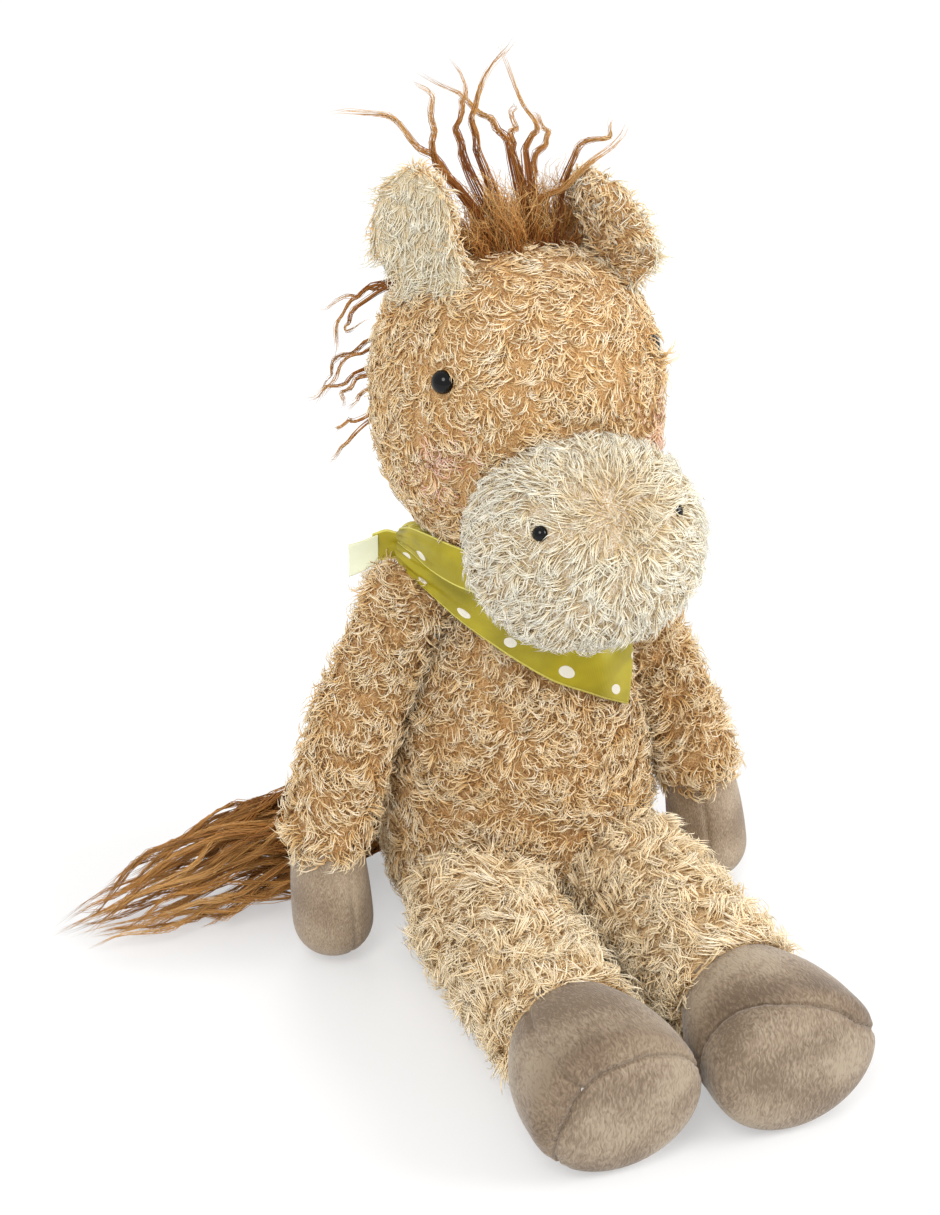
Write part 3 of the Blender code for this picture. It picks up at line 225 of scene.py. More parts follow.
# Forms: each is a grid of points, (rows, columns, 3)
def smooth(table, where, column=1):
    """Cubic curve through a table's column against its first one, that doesn't swing past the points."""
    stations, values, where = table[:, 0], table[:, column], np.asarray(where, dtype=float)
    steps = np.diff(stations)
    slopes = np.diff(values) / steps
    product = slopes[:-1] * slopes[1:]
    total = np.where(product > 0, slopes[:-1] + slopes[1:], 1)
    tangents = np.concatenate([slopes[:1], np.where(product > 0, 2 * product / total, 0), slopes[-1:]])
    left = np.clip(np.searchsorted(stations, where, side="right") - 1, 0, len(steps) - 1)
    part = (where - stations[left]) / steps[left]
    return (
        values[left] * (1 + 2 * part) * (1 - part) ** 2
        + values[left + 1] * part ** 2 * (3 - 2 * part)
        + steps[left] * part * (1 - part) * (tangents[left] * (1 - part) - tangents[left + 1] * part)
    )


def unit(vectors):
    """Vectors brought to length 1."""
    return vectors / np.maximum(np.linalg.norm(vectors, axis=-1, keepdims=True), 1e-12)


def ring_angles(count):
    """Even angles round a ring."""
    return np.arange(count) * math.tau / count


def oval(centre, half_sizes, squareness, rows=64, columns=96):
    """Rounded box: each of a ball's sines and cosines is raised to 2 / squareness and scaled by the half sizes."""
    level = np.linspace(0, math.pi, rows)[:, None]
    round_ = ring_angles(columns)[None]

    def soft(value):
        return np.sign(value) * np.abs(value) ** (2 / squareness)

    flat = soft(np.sin(level))
    return np.asarray(centre) + np.asarray(half_sizes) * np.stack([
        flat * soft(np.cos(round_)), flat * soft(np.sin(round_)), -soft(np.cos(level)) + 0 * round_], axis=-1)


def oval_place(centre, half_sizes, squareness, bearing, rise):
    """Point and outward direction on a rounded box at a bearing from forward and a height above its centre."""
    across, along, up = half_sizes
    side, front = math.sin(bearing), -math.cos(bearing)
    spread = abs(side / across) ** squareness + abs(front / along) ** squareness
    reach = ((1 - abs(rise / up) ** squareness) / spread) ** (1 / squareness)
    spot = np.array([side * reach, front * reach, rise])
    sizes = np.array(half_sizes)
    outward = np.sign(spot) * np.abs(spot / sizes) ** (squareness - 1) / sizes
    return np.asarray(centre) + spot, unit(outward)


def body_grid(form, rows=72, columns=96):
    """Pear form: an oval whose half sizes follow the body's shares up to the neck, closed by the neck's dome."""
    share_up = np.linspace(0, 1, rows)[:, None]
    swell = smooth(BODY_SHARES, share_up)
    round_ = ring_angles(columns)[None]
    width, front, back = (
        form.neck_radius + (size - form.neck_radius) * swell
        for size in (form.body_half_width, form.body_front, form.body_back))
    depth = np.where(np.sin(round_) > 0, back, front)
    lower = np.stack([
        width * np.cos(round_), form.neck_setback * share_up + depth * np.sin(round_),
        form.neck_height * share_up + 0 * round_], axis=-1)
    lift = np.linspace(0, math.pi / 2, 14)[1:, None]
    dome = np.array([0, form.neck_setback, form.neck_height]) + form.neck_radius * np.stack([
        np.cos(lift) * np.cos(round_), np.cos(lift) * np.sin(round_), np.sin(lift) + 0 * round_], axis=-1)
    seat = np.zeros((1, columns, 3))
    return np.concatenate([seat, lower, dome])


def head_form(form):
    """Centre, half sizes and squareness of the head."""
    centre = (-form.head_off_centre, form.neck_setback - form.head_forward, form.neck_height + form.head_rise)
    return centre, (form.head_half_width, form.head_half_depth, form.head_half_height), form.head_squareness


def muzzle_form(form):
    """Centre, half sizes and squareness of the muzzle."""
    centre = (-form.muzzle_off_centre, form.neck_setback - form.muzzle_forward, form.neck_height + form.muzzle_rise)
    return centre, (form.muzzle_half_width, form.muzzle_half_depth, form.muzzle_half_height), form.muzzle_squareness


def closed(grid, first=False, last=False):
    """Grid with the middle of its first or last ring as one more row, which closes that end."""
    ends = [grid[i:i + 1 or None].mean(axis=1, keepdims=True).repeat(grid.shape[1], 1) for i in (0, -1)]
    return np.concatenate([ends[0]] * first + [grid] + [ends[1]] * last)


def rings(centres, along, facing, across, up, columns):
    """Oval rings square to a path: centre + side x across x cos + front x up x sin."""
    side = unit(np.cross(along, facing))
    front = np.cross(side, along)
    round_ = ring_angles(columns)[None, :, None]
    return (centres[:, None] + side[:, None] * across[:, None, None] * np.cos(round_)
            + front[:, None] * up[:, None, None] * np.sin(round_))


def limb_grid(place, sizes, start, stop, facing, root=None, tip=None, rows=48, columns=64):
    """Rings along a limb from start to stop, with a half ball before it or a round end after it where asked.

    place and sizes give the centre and the two half sizes at a distance; root is a radius, tip a depth and fullness.
    """
    distance = np.linspace(start, stop, rows)
    centres = place(distance)
    along = unit(np.gradient(centres, axis=0))
    across, up = sizes(distance)
    parts = [rings(centres, along, facing, across, up, columns)]
    if root:
        angle = np.linspace(0, math.pi / 2, 14)[:-1]
        behind = centres[:1] - along[:1] * (root * np.cos(angle))[:, None]
        reach = root * np.sin(angle)
        parts.insert(0, rings(behind, np.repeat(along[:1], len(angle), 0), facing, reach, reach, columns))
    if tip:
        depth, fullness = tip
        angle = np.linspace(0, math.pi / 2, 16)[1:]
        out = depth * np.sin(angle) ** (2 / fullness)
        scale = np.cos(angle) ** (2 / fullness)
        scale[-1] = 0
        beyond = centres[-1:] + along[-1:] * out[:, None]
        parts.append(rings(beyond, np.repeat(along[-1:], len(angle), 0), facing,
                           across[-1] * scale, up[-1] * scale, columns))
    return np.concatenate(parts)


def arm_form(form, side, shares):
    """Centre line and radius of an arm, in world places."""
    drop = math.sqrt(form.arm_length ** 2 - form.arm_out ** 2)
    scale = np.array([form.arm_out * side, -form.arm_forward])
    table = np.column_stack([form.arm_length * shares[:, 0], shares[:, 1:] * scale, -drop * shares[:, 0]])
    seam = np.array([form.shoulder_spread * side, -form.shoulder_forward, form.shoulder_height])

    def place(distance):
        return seam + np.stack([smooth(table, distance, i) for i in (1, 2, 3)], axis=-1)

    def sizes(distance):
        upper = form.shoulder_radius * smooth(ARM_RADIUS_SHARES, np.minimum(distance / form.arm_length, 0.70))
        part = np.clip((distance - form.wrist) / (form.arm_length - form.arm_hoof_end - form.wrist), 0, 1)
        hoof = form.wrist_radius + (form.arm_hoof_radius - form.wrist_radius) * np.sin(part * math.pi / 2)
        radius = np.where(distance <= form.wrist, upper, hoof)
        return radius, radius

    return place, sizes


def leg_form(form, side):
    """Centre line and radii of a leg, in world places."""
    angle = form.right_leg_turn if side < 0 else form.left_leg_turn
    seam = np.array([form.hip_spread * side, -form.hip_forward, form.hip_height])
    ahead = np.array([math.sin(angle), -math.cos(angle), 0])

    def place(distance):
        return seam + np.asarray(distance)[:, None] * ahead

    def sizes(distance):
        leg = form.hip_radius + (form.ankle_radius - form.hip_radius) * distance / form.ankle
        part = np.clip((distance - form.ankle) / (form.leg_length - form.hoof_end - form.ankle), 0, 1)
        swell = smooth(HOOF_WALL_SHARES, part)
        flare = [np.where(distance <= form.ankle, leg, form.ankle_radius + (size - form.ankle_radius) * swell)
                 for size in (form.hoof_half_width, form.hoof_half_height)]
        return flare

    return place, sizes


def hoof_grid(form, side, first, last, seam_row, rows=54, columns=HOOF_COLUMNS):
    """Hoof surface between two bounds that may differ round it: its wall swells from the ankle, and its sole is a
    flattened dome that the dome's share of the way past the wall's end measures. Rows crowd towards the seamed bound,
    where the surface sinks by a crease and a wider roll, with small puckers; the wall also has its closing seam."""
    place, sizes = leg_form(form, side)
    round_ = ring_angles(columns)
    part = np.linspace(0, 1, rows)[:, None]
    part = part ** 1.7 if seam_row == 0 else 1 - (1 - part) ** 1.7
    way = first + (last - first) * part + 0 * round_
    edge = form.leg_length - form.hoof_end
    angle = np.clip((way - edge) / form.hoof_end, 0, 1) * math.pi / 2
    out = form.hoof_end * np.sin(angle) ** (2 / form.sole_fullness)
    scale = np.where(angle < math.pi / 2 - 1e-6, np.cos(np.minimum(angle, math.pi / 2 - 1e-9)), 0)
    scale = scale ** (2 / form.sole_fullness)
    along = np.minimum(way, edge)
    across, up = sizes(along.ravel())
    centre = place((along + out).ravel()).reshape(rows, columns, 3)
    ahead = unit(place(np.array([1.0])) - place(np.array([0.0])))[0]
    beside, above = np.cross(ahead, (0, 0, 1)), np.array([0, 0, 1.0])
    points = (centre + beside * (across.reshape(rows, columns) * scale * np.cos(round_))[..., None]
              + above * (up.reshape(rows, columns) * scale * np.sin(round_))[..., None])
    off = np.linalg.norm(points - points[seam_row], axis=-1)
    sink = 1.2 * MM * np.exp(-(off / (0.8 * MM)) ** 2) + 0.6 * MM * np.exp(-(off / (4.0 * MM)) ** 2)
    pucker = 0.25 * MM * np.sin(36 * round_ + 2 * np.sin(5 * round_)) * np.exp(-(off / (3.5 * MM)) ** 2)
    closing = math.radians(45 if side < 0 else 225)
    seat = 1.0 * MM * np.exp(-((round_ - closing) / 0.04) ** 2) * (seam_row != 0)
    outward = unit(points - place(np.array([edge - 16 * MM]))[0])
    return points - outward * (sink + pucker + seat)[..., None]


# Meshes
def add_mesh(name, points, quads, triangles, quad_uvs, triangle_uvs):
    """Object of whole arrays; each face corner gets its place on the map named OFBake."""
    data = bpy.data.meshes.new(name)
    corners = np.concatenate([quads.ravel(), triangles.ravel()]).astype(np.int32)
    starts = np.concatenate([np.arange(len(quads)) * 4, len(quads) * 4 + np.arange(len(triangles)) * 3])
    data.vertices.add(len(points))
    data.vertices.foreach_set("co", np.asarray(points, dtype=np.float32).ravel())
    data.loops.add(len(corners))
    data.loops.foreach_set("vertex_index", corners)
    data.polygons.add(len(starts))
    data.polygons.foreach_set("loop_start", starts.astype(np.int32))
    layer = data.uv_layers.new(name="OFBake")
    uvs = np.concatenate([quad_uvs.reshape(-1, 2), triangle_uvs.reshape(-1, 2)])
    layer.data.foreach_set("uv", np.clip(uvs, 0, 1).astype(np.float32).ravel())
    data.update(calc_edges=True)
    data.validate()
    data.shade_smooth()
    made = bpy.data.objects.new(name, data)
    bpy.context.scene.collection.objects.link(made)
    return made


def shell(name, grid):
    """Closed surface of a grid whose first and last rows are single points and whose columns go all round."""
    rows, columns = grid.shape[:2]
    points = np.concatenate([grid[:1, 0], grid[1:-1].reshape(-1, 3), grid[-1:, 0]])
    index = 1 + np.arange((rows - 2) * columns).reshape(rows - 2, columns)
    following = np.roll(index, -1, axis=1)
    quads = np.stack([index[:-1], following[:-1], following[1:], index[1:]], axis=-1).reshape(-1, 4)
    last = len(points) - 1
    low = np.stack([np.zeros(columns, int), following[0], index[0]], axis=-1)
    high = np.stack([index[-1], following[-1], np.full(columns, last)], axis=-1)
    u = np.arange(columns) / columns
    step = 1 / columns
    v = np.arange(rows) / (rows - 1)

    def corners(us, vs):
        return np.stack(np.broadcast_arrays(us, vs), axis=-1)

    quad_uvs = np.stack([
        corners(u[None], v[1:-2, None]), corners(u[None] + step, v[1:-2, None]),
        corners(u[None] + step, v[2:-1, None]), corners(u[None], v[2:-1, None])], axis=2)
    low_uvs = np.stack([corners(u + step / 2, 0), corners(u + step, v[1]), corners(u, v[1])], axis=1)
    high_uvs = np.stack([corners(u, v[-2]), corners(u + step, v[-2]), corners(u + step / 2, 1)], axis=1)
    triangles, triangle_uvs = np.concatenate([low, high]), np.concatenate([low_uvs, high_uvs])
    a, b, c = (points[quads[:, i]] for i in (0, 1, 2))
    if np.einsum("ij,ij->", a, np.cross(b, c)) < 0:
        quads, quad_uvs = quads[:, ::-1], quad_uvs.reshape(-1, 4, 2)[:, ::-1]
        triangles, triangle_uvs = triangles[:, ::-1], triangle_uvs[:, ::-1]
    return add_mesh(name, points, quads, triangles, quad_uvs, triangle_uvs)


def strands(name, paths, radii, tones):
    """Three-sided fibres that taper to a point; the map holds each one's tone across and its root to tip upwards."""
    count, steps = paths.shape[:2]
    tangents = unit(np.gradient(paths, axis=1))
    spin = np.random.default_rng(5).normal(size=(count, 1, 3))
    side = unit(spin - (spin * tangents).sum(-1, keepdims=True) * tangents)[:, :-1]
    other = np.cross(tangents[:, :-1], side)
    round_ = ring_angles(3)
    reach = np.broadcast_to(radii, (count, steps - 1))[..., None, None]
    ring = paths[:, :-1, None] + reach * (
        side[:, :, None] * np.cos(round_)[:, None] + other[:, :, None] * np.sin(round_)[:, None])
    points = np.concatenate([ring.reshape(-1, 3), paths[:, -1]])
    index = np.arange(count * (steps - 1) * 3).reshape(count, steps - 1, 3)
    following = np.roll(index, -1, axis=2)
    quads = np.stack([index[:, :-1], following[:, :-1], following[:, 1:], index[:, 1:]], axis=-1).reshape(-1, 4)
    tips = index.size + np.arange(count)
    tip = np.stack([index[:, -1], following[:, -1], np.repeat(tips[:, None], 3, 1)], axis=-1).reshape(-1, 3)
    base = index[:, 0, ::-1]
    wide = 0.012
    tones = (0.01 + 0.98 * np.clip(tones, 0, 1))[:, None, None]
    left = tones + wide * (np.arange(3) / 3 - 0.5)
    right = left + wide / 3
    levels = np.linspace(0.02, 0.98, steps)
    low, high = levels[None, :-2, None], levels[None, 1:-1, None]
    sides = ((left, low), (right, low), (right, high), (left, high))
    quad_uvs = np.stack([np.stack(np.broadcast_arrays(*pair), axis=-1) for pair in sides], axis=-2)
    top = np.full((count, 1, 3), levels[-2])
    tip_uvs = np.stack([
        np.stack([left, top], -1), np.stack([right, top], -1),
        np.stack([left + wide / 6, np.full_like(top, levels[-1])], -1)], axis=-2)
    base_uvs = np.stack([
        np.stack([left[:, 0, i], np.full(count, levels[0] * (0.2 if i == 1 else 1))], -1) for i in (0, 1, 2)], axis=1)
    return add_mesh(name, points, quads, np.concatenate([tip, base]), quad_uvs,
                    np.concatenate([tip_uvs.reshape(-1, 2), base_uvs.reshape(-1, 2)]))


# Pile
def grid_corners(grid):
    """The four corners of each cell of a grid whose columns go all round, in order."""
    following = np.roll(grid, -1, axis=1)
    return grid[:-1], following[:-1], following[1:], grid[1:]


def spread(grid, count, rng):
    """Places spread by area over a grid, with the outward direction at each."""
    a, b, c, d = (corner.reshape(-1, 3) for corner in grid_corners(grid))
    normal = np.cross(c - a, d - b)
    area = np.linalg.norm(normal, axis=1)
    middle = grid.reshape(-1, 3).mean(axis=0)
    if ((a - middle) * normal).sum() < 0:
        normal = -normal
    cell = rng.choice(len(area), int(count), p=area / area.sum())
    u, v = rng.random((2, int(count), 1))
    place = (a[cell] * (1 - u) + b[cell] * u) * (1 - v) + (d[cell] * (1 - u) + c[cell] * u) * v
    return place, unit(normal[cell])


def grid_area(grid):
    """Area of a grid in square metres."""
    a, b, c, d = grid_corners(grid)
    return np.linalg.norm(np.cross(c - a, d - b), axis=-1).sum() / 2


def nearest(places, centres):
    """Index of the nearest centre to each place, by the smallest |c|^2 - 2 p.c."""
    middle = centres.mean(axis=0)
    centres, places = centres - middle, places - middle
    square = (centres ** 2).sum(axis=1)
    return np.concatenate([
        (square - 2 * places[start:start + 2000] @ centres.T).argmin(axis=1) for start in range(0, len(places), 2000)])


def tufted(grid, lay, seed, density, reach, rise, lock=5.5, swirl=26.0, bend=150.0, scatter=70.0, gather=0.6,
           keep=None, stray=0.34):
    """Curly fibres in locks, and locks in swirls. Each fibre rises by s(2 - s) of the rise while its heading turns
    along an arc that its swirl sets, and is drawn towards its lock's middle. A share of them strays: these are
    shorter, lower and deeper in tone, the deeper tone being painted shade for their place low in the pile, and
    head anywhere, so that no cloth shows between the swirls. lay gives the brushed direction at a place; lock and
    swirl are areas in square millimetres."""
    rng = np.random.default_rng(seed)
    area = grid_area(grid) * 1e6
    roots, normals = spread(grid, area * density, rng)
    locks, _ = spread(grid, max(area / lock, 4), rng)
    swirls, _ = spread(grid, max(area / swirl, 4), rng)
    if keep is not None:
        kept = keep(roots)
        roots, normals = roots[kept], normals[kept]
    count, many, few = len(roots), len(locks), len(swirls)
    owner = nearest(roots, locks)
    group = nearest(locks, swirls)
    flow = lay(roots)
    first = unit(flow - (flow * normals).sum(-1, keepdims=True) * normals)
    second = np.cross(normals, first)
    heading = (np.radians(rng.normal(0, scatter, few))[group] + rng.normal(0, 0.32, many))[owner]
    heading = heading + rng.normal(0, 0.12, count)
    loose = rng.random(count) < stray
    heading = np.where(loose, rng.uniform(0, math.tau, count), heading)
    swing = (np.radians(bend) * rng.uniform(0.45, 1.25, few) * rng.choice([-1, 1], few))[group]
    swing = (swing * rng.uniform(0.7, 1.4, many))[owner] * rng.uniform(0.85, 1.15, count)
    swing = np.where(np.abs(swing) < 0.05, 0.05, swing)
    size = (rng.uniform(0.7, 1.25, many)[owner] * rng.uniform(0.75, 1.15, count)
            * np.where(loose, 0.7, 1))[:, None, None]
    lift = ((rng.uniform(0.7, 1.25, few)[group] * rng.uniform(0.65, 1.3, many))[owner]
            * rng.uniform(0.8, 1.2, count) * np.where(loose, 0.6, 1))[:, None, None]
    s = np.linspace(0, 1, 4)[None, :, None]
    heading, swing = heading[:, None, None], swing[:, None, None]
    ahead = (np.sin(heading + swing * s) - np.sin(heading)) / swing
    aside = (np.cos(heading) - np.cos(heading + swing * s)) / swing
    pull = (locks[owner] - roots)[:, None]
    pull = pull - (pull * normals[:, None]).sum(-1, keepdims=True) * normals[:, None]
    paths = (
        roots[:, None] - normals[:, None] * BACKING_STANDS
        + reach * size * (first[:, None] * ahead + second[:, None] * aside)
        + normals[:, None] * rise * lift * s * (2 - s) + pull * gather * s)
    paths[..., 2] = np.maximum(paths[..., 2], FLOOR_GAP)
    tone = 0.28 * rng.random(few)[group][owner] + 0.47 * rng.random(many)[owner] + 0.25 * rng.random(count)
    # Painted shade: the stray fibres lie low in the pile and take deeper tones
    return paths, np.where(loose, 0.55 * tone, tone)


def clear_of(paths, tone, spots, reach, outward=None):
    """Leaves out the fibres that pass within a reach of any of the spots, measured square to its outward direction
    where that is given, as for a bead that the pile leaves free."""
    kept = np.ones(len(paths), bool)
    for number, spot in enumerate(spots):
        off = paths[:, 1:] - spot
        if outward is not None:
            height = (off * outward[number]).sum(axis=-1, keepdims=True)
            off = off - np.clip(height, 0, 6 * MM) * outward[number]
        kept &= np.linalg.norm(off, axis=-1).min(axis=1) > reach
    return paths[kept], tone[kept]


def place_piece(made, finish, body, node=None):
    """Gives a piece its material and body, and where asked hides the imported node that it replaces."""
    if finish:
        made.data.materials.append(finish)
    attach(made, body)
    if node:
        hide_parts(node)
    return made


def lay_pile(name, body, paths, tones, finish, width, order, most=9000):
    """Fibres in pieces of at most a given count, sorted so that each piece is one panel of the cloth."""
    rank = np.argsort(order(paths[:, 0]))
    radii = width / 2 * np.array([1.0, 1.0, 0.7])
    for number, part in enumerate(np.array_split(rank, math.ceil(len(rank) / most))):
        place_piece(strands(f"{name}_{number + 1}", paths[part], radii, tones[part]), finish, body)


# Materials
def add_node(tree, kind, inputs=(), **options):
    """Adds one node with its settings, its stops where it is a ramp, and its links."""
    made = tree.nodes.new(kind)
    for key, value in options.items():
        if key == "stops":
            ramp = made.color_ramp.elements
            while len(ramp) < len(value):
                ramp.new(1.0)
            for element, (position, tint) in zip(ramp, value):
                element.position = position
                element.color = (*tint[:3], 1.0)
        else:
            setattr(made, key, value)
    for key, value in dict(inputs).items():
        if isinstance(value, bpy.types.NodeSocket):
            tree.links.new(value, made.inputs[key])
        else:
            made.inputs[key].default_value = value
    return made


def new_material(name, **sockets):
    """Material with a Principled shader; returns it with its tree and shader."""
    made = bpy.data.materials.new(name)
    made.use_nodes = True
    shader = made.node_tree.nodes["Principled BSDF"]
    for key, value in sockets.items():
        shader.inputs[key.replace("_", " ")].default_value = value
    return made, made.node_tree, shader


def dress(tree, shader, tint, height=None, strength=0.0, distance=0.0):
    """Links a shader's colour, and its relief where a height is given, with its distance in millimetres."""
    tree.links.new(tint, shader.inputs["Base Color"])
    if height is not None:
        relief = add_node(tree, "ShaderNodeBump", {"Height": height, "Strength": strength, "Distance": distance * MM})
        tree.links.new(relief.outputs["Normal"], shader.inputs["Normal"])


def raised(shade, strength):
    """A shade raised to a strength: 0 leaves a dye as it is and more deepens it."""
    return tuple(c ** strength for c in shade)


def shaded(dye, shade, strength):
    """A dye multiplied with a raised shade."""
    return tuple(a * b for a, b in zip(dye, raised(shade, strength)))


def grey(value):
    """Grey of a given strength."""
    return (value, value, value)


def fibre_material(name, stops, root, sheen=0.1, roughness=0.75, climb=0.35):
    """Pile fibre: dyed polyester with painted shade in its depth, darker and warmer, because light reaches the depth
    only through other fibres. The painted shade, whose colour is root, fades from the root up to a little past the
    climb."""
    made, tree, shader = new_material(name, Roughness=roughness, Sheen_Weight=sheen, Sheen_Roughness=0.4,
                                      Specular_IOR_Level=0.3)
    chart = add_node(tree, "ShaderNodeUVMap", uv_map="OFBake")
    split = add_node(tree, "ShaderNodeSeparateXYZ", {0: chart.outputs["UV"]})
    dye = add_node(tree, "ShaderNodeValToRGB", {0: split.outputs["X"]}, stops=stops)
    # Painted shade along each fibre, darkest at its root
    depth = add_node(tree, "ShaderNodeValToRGB", {0: split.outputs["Y"]},
                     stops=((0.05, root), (climb, raised(root, 0.4)), (climb + 0.28, grey(1.0)), (1.0, grey(1.0))))
    mixed = add_node(tree, "ShaderNodeMix", {0: 1.0, 6: dye.outputs["Color"], 7: depth.outputs["Color"]},
                     data_type="RGBA", blend_type="MULTIPLY")
    dress(tree, shader, mixed.outputs[2])
    return made


def grain_material(name, low, high, scale_mm, bump, roughness, sheen=0.0, relief_mm=0.5, edges=(0.3, 0.7),
                   detail=2.0, harshness=0.5):
    """Two dyes in a fine grain, with its relief."""
    made, tree, shader = new_material(name, Roughness=roughness, Sheen_Weight=sheen)
    place = add_node(tree, "ShaderNodeTexCoord")
    grain = add_node(tree, "ShaderNodeTexNoise", {"Vector": place.outputs["Object"], "Scale": 1 / (scale_mm * MM),
                                                  "Detail": detail, "Roughness": harshness})
    dye = add_node(tree, "ShaderNodeValToRGB", {0: grain.outputs["Fac"]}, stops=((edges[0], low), (edges[1], high)))
    dress(tree, shader, dye.outputs["Color"], grain.outputs["Fac"], bump, relief_mm)
    return made


def cloth_material(name, low, high):
    """Knitted backing under the pile, mottled at 0.55 mm where the fibres leave it."""
    return grain_material(name, low, high, 0.55, 0.9, 0.95, 0.1, 1.0, (0.32, 0.68), 3.0, 0.6)


def plain_material(name, tint, roughness, scale_mm, bump):
    """Moulded or wound filling that is hidden in the toy, with a fine grain."""
    return grain_material(name, tuple(0.85 * c for c in tint), tint, scale_mm, bump, roughness)


def minky_material(name, finishes, along, painted_shade_bands=((0.0, grey(1.0)), (1.0, grey(1.0)))):
    """Brushed minky or felt: streaks of nap about 0.3 by 1 mm over slow changes where it was stroked, partly the
    nap's grain and partly painted sheen and shade, as brushed pile catches the light one way and not the other. The
    painted shade bands darken it from one end of its map to the other, for the shade where the nap lies either way
    beside a seam and in the seam's crease."""
    made, tree, shader = new_material(name, Roughness=0.8, Sheen_Weight=0.3, Sheen_Roughness=0.4)
    place = add_node(tree, "ShaderNodeTexCoord")
    bend = add_node(tree, "ShaderNodeTexNoise", {"Vector": place.outputs["Object"], "Scale": 220.0, "Detail": 1.0})
    shift = add_node(tree, "ShaderNodeVectorMath", {0: bend.outputs["Color"], 1: (0.003, 0.003, 0.003)},
                     operation="MULTIPLY")
    moved = add_node(tree, "ShaderNodeVectorMath", {0: place.outputs["Object"], 1: shift.outputs[0]}, operation="ADD")
    stretch = add_node(tree, "ShaderNodeMapping", {"Vector": moved.outputs[0], "Scale": along})
    nap = add_node(tree, "ShaderNodeTexNoise", {"Vector": stretch.outputs[0], "Scale": 1500.0, "Detail": 2.0,
                                                "Roughness": 0.5})
    patch = add_node(tree, "ShaderNodeTexNoise", {"Vector": place.outputs["Object"], "Scale": 42.0, "Detail": 1.0})
    slow = add_node(tree, "ShaderNodeMapRange", {"Value": patch.outputs["Fac"], "From Min": 0.3, "From Max": 0.7,
                                                 "To Min": -0.22, "To Max": 0.22})
    both = add_node(tree, "ShaderNodeMath", {0: nap.outputs["Fac"], 1: slow.outputs["Result"]}, operation="ADD")
    # Nap grain with painted sheen and shade: streaks and patches from the darker to the lighter hoof colour
    dye = add_node(tree, "ShaderNodeValToRGB", {0: both.outputs[0]}, stops=(
        (0.28, finishes.hoof_nap_and_shade), (0.5, finishes.hoof), (0.72, finishes.hoof_nap_and_sheen)))
    chart = add_node(tree, "ShaderNodeUVMap", uv_map="OFBake")
    split = add_node(tree, "ShaderNodeSeparateXYZ", {0: chart.outputs["UV"]})
    # Painted shade along the map, multiplied into the nap
    band = add_node(tree, "ShaderNodeValToRGB", {0: split.outputs["Y"]}, stops=painted_shade_bands)
    mixed = add_node(tree, "ShaderNodeMix", {0: 1.0, 6: dye.outputs["Color"], 7: band.outputs["Color"]},
                     data_type="RGBA", blend_type="MULTIPLY")
    dress(tree, shader, mixed.outputs[2], nap.outputs["Fac"], 0.7, 0.6)
    return made


def plain_material(name, tint, roughness, scale_mm, bump):
    """Moulded or wound filling that is hidden in the toy, with a fine grain."""
    made, tree, shader = new_material(name, Roughness=roughness)
    place = add_node(tree, "ShaderNodeTexCoord")
    grain = add_node(tree, "ShaderNodeTexNoise", {"Vector": place.outputs["Object"], "Scale": 1 / (scale_mm * MM)})
    dye = add_node(tree, "ShaderNodeValToRGB", {0: grain.outputs["Fac"]}, stops=(
        (0.3, tuple(0.85 * c for c in tint)), (0.7, tint)))
    tree.links.new(dye.outputs["Color"], shader.inputs["Base Color"])
    relief = add_node(tree, "ShaderNodeBump", {"Height": grain.outputs["Fac"], "Strength": bump, "Distance": 0.5 * MM})
    tree.links.new(relief.outputs["Normal"], shader.inputs["Normal"])
    return made


def dyes(deep, mid, tip, extra=None):
    """Ramp stops from the deep to the light fibres, with an extra dye for the last fifth of the tones."""
    last = tip if extra is None else extra
    return (0.0, deep), (0.30, mid), (0.76, tip), (0.79, tip), (0.81, last), (1.0, last)


def toned(tone, dark=0.0):
    """Tones kept below the extra dye; dark from 0 to 1 pushes them to the deep end."""
    return 0.78 * np.clip(tone * (1 - dark), 0, 1)


def backing(name, grid, node, body, finish):
    """Cloth that the pile stands on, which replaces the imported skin."""
    place_piece(shell(name, grid), finish, body, node)


def away_from(place):
    """Brushed direction that leads away from a place."""
    return lambda roots: roots - np.asarray(place)


def towards(direction):
    """Brushed direction that is the same everywhere."""
    return lambda roots: np.broadcast_to(np.asarray(direction, dtype=float), roots.shape)


class PLUSH_OT_body(bpy.types.Operator):
    """Curly tan body"""
    bl_idname = "plush.body"
    bl_label = "Body"

    def execute(self, context):
        form, pile, finishes, _ = settings()
        grid = body_grid(form)
        # Painted shade: the backing's dyes are darkened by the root shade, for the shade under the pile
        cloth = cloth_material("tan knitted backing", shaded(finishes.tan_deep, finishes.root, 1.3),
                               shaded(finishes.tan_mid, finishes.root, 0.3))
        backing("body_cloth", grid, "body_skin", "torso", cloth)
        tans = dyes(finishes.tan_deep, finishes.tan_mid, finishes.tan_tip, finishes.blush)
        fibre = fibre_material("tan curly pile fibre", tans, finishes.root)
        hips = [np.array([form.hip_spread * s, -form.hip_forward, form.hip_height]) for s in (-1, 1)]

        def keep(roots):
            free = roots[:, 2] < form.neck_height + 0.4 * form.neck_radius
            for hip in hips:
                free &= np.linalg.norm(roots - hip, axis=1) > form.hip_radius
            return free & (roots[:, 2] > 1.2 * MM)

        paths, tone = tufted(grid, towards((0, -0.2, -1)), 11, pile.density, pile.curly_reach, pile.curly_rise,
                             keep=keep)
        paths, tone = clear_of(paths, tone, ribbon_spots(), SATIN_CLEARING)
        lay_pile("body_pile", "torso", paths, toned(tone), fibre, pile.width,
                 lambda p: np.arctan2(p[:, 1], p[:, 0]))
        return {"FINISHED"}


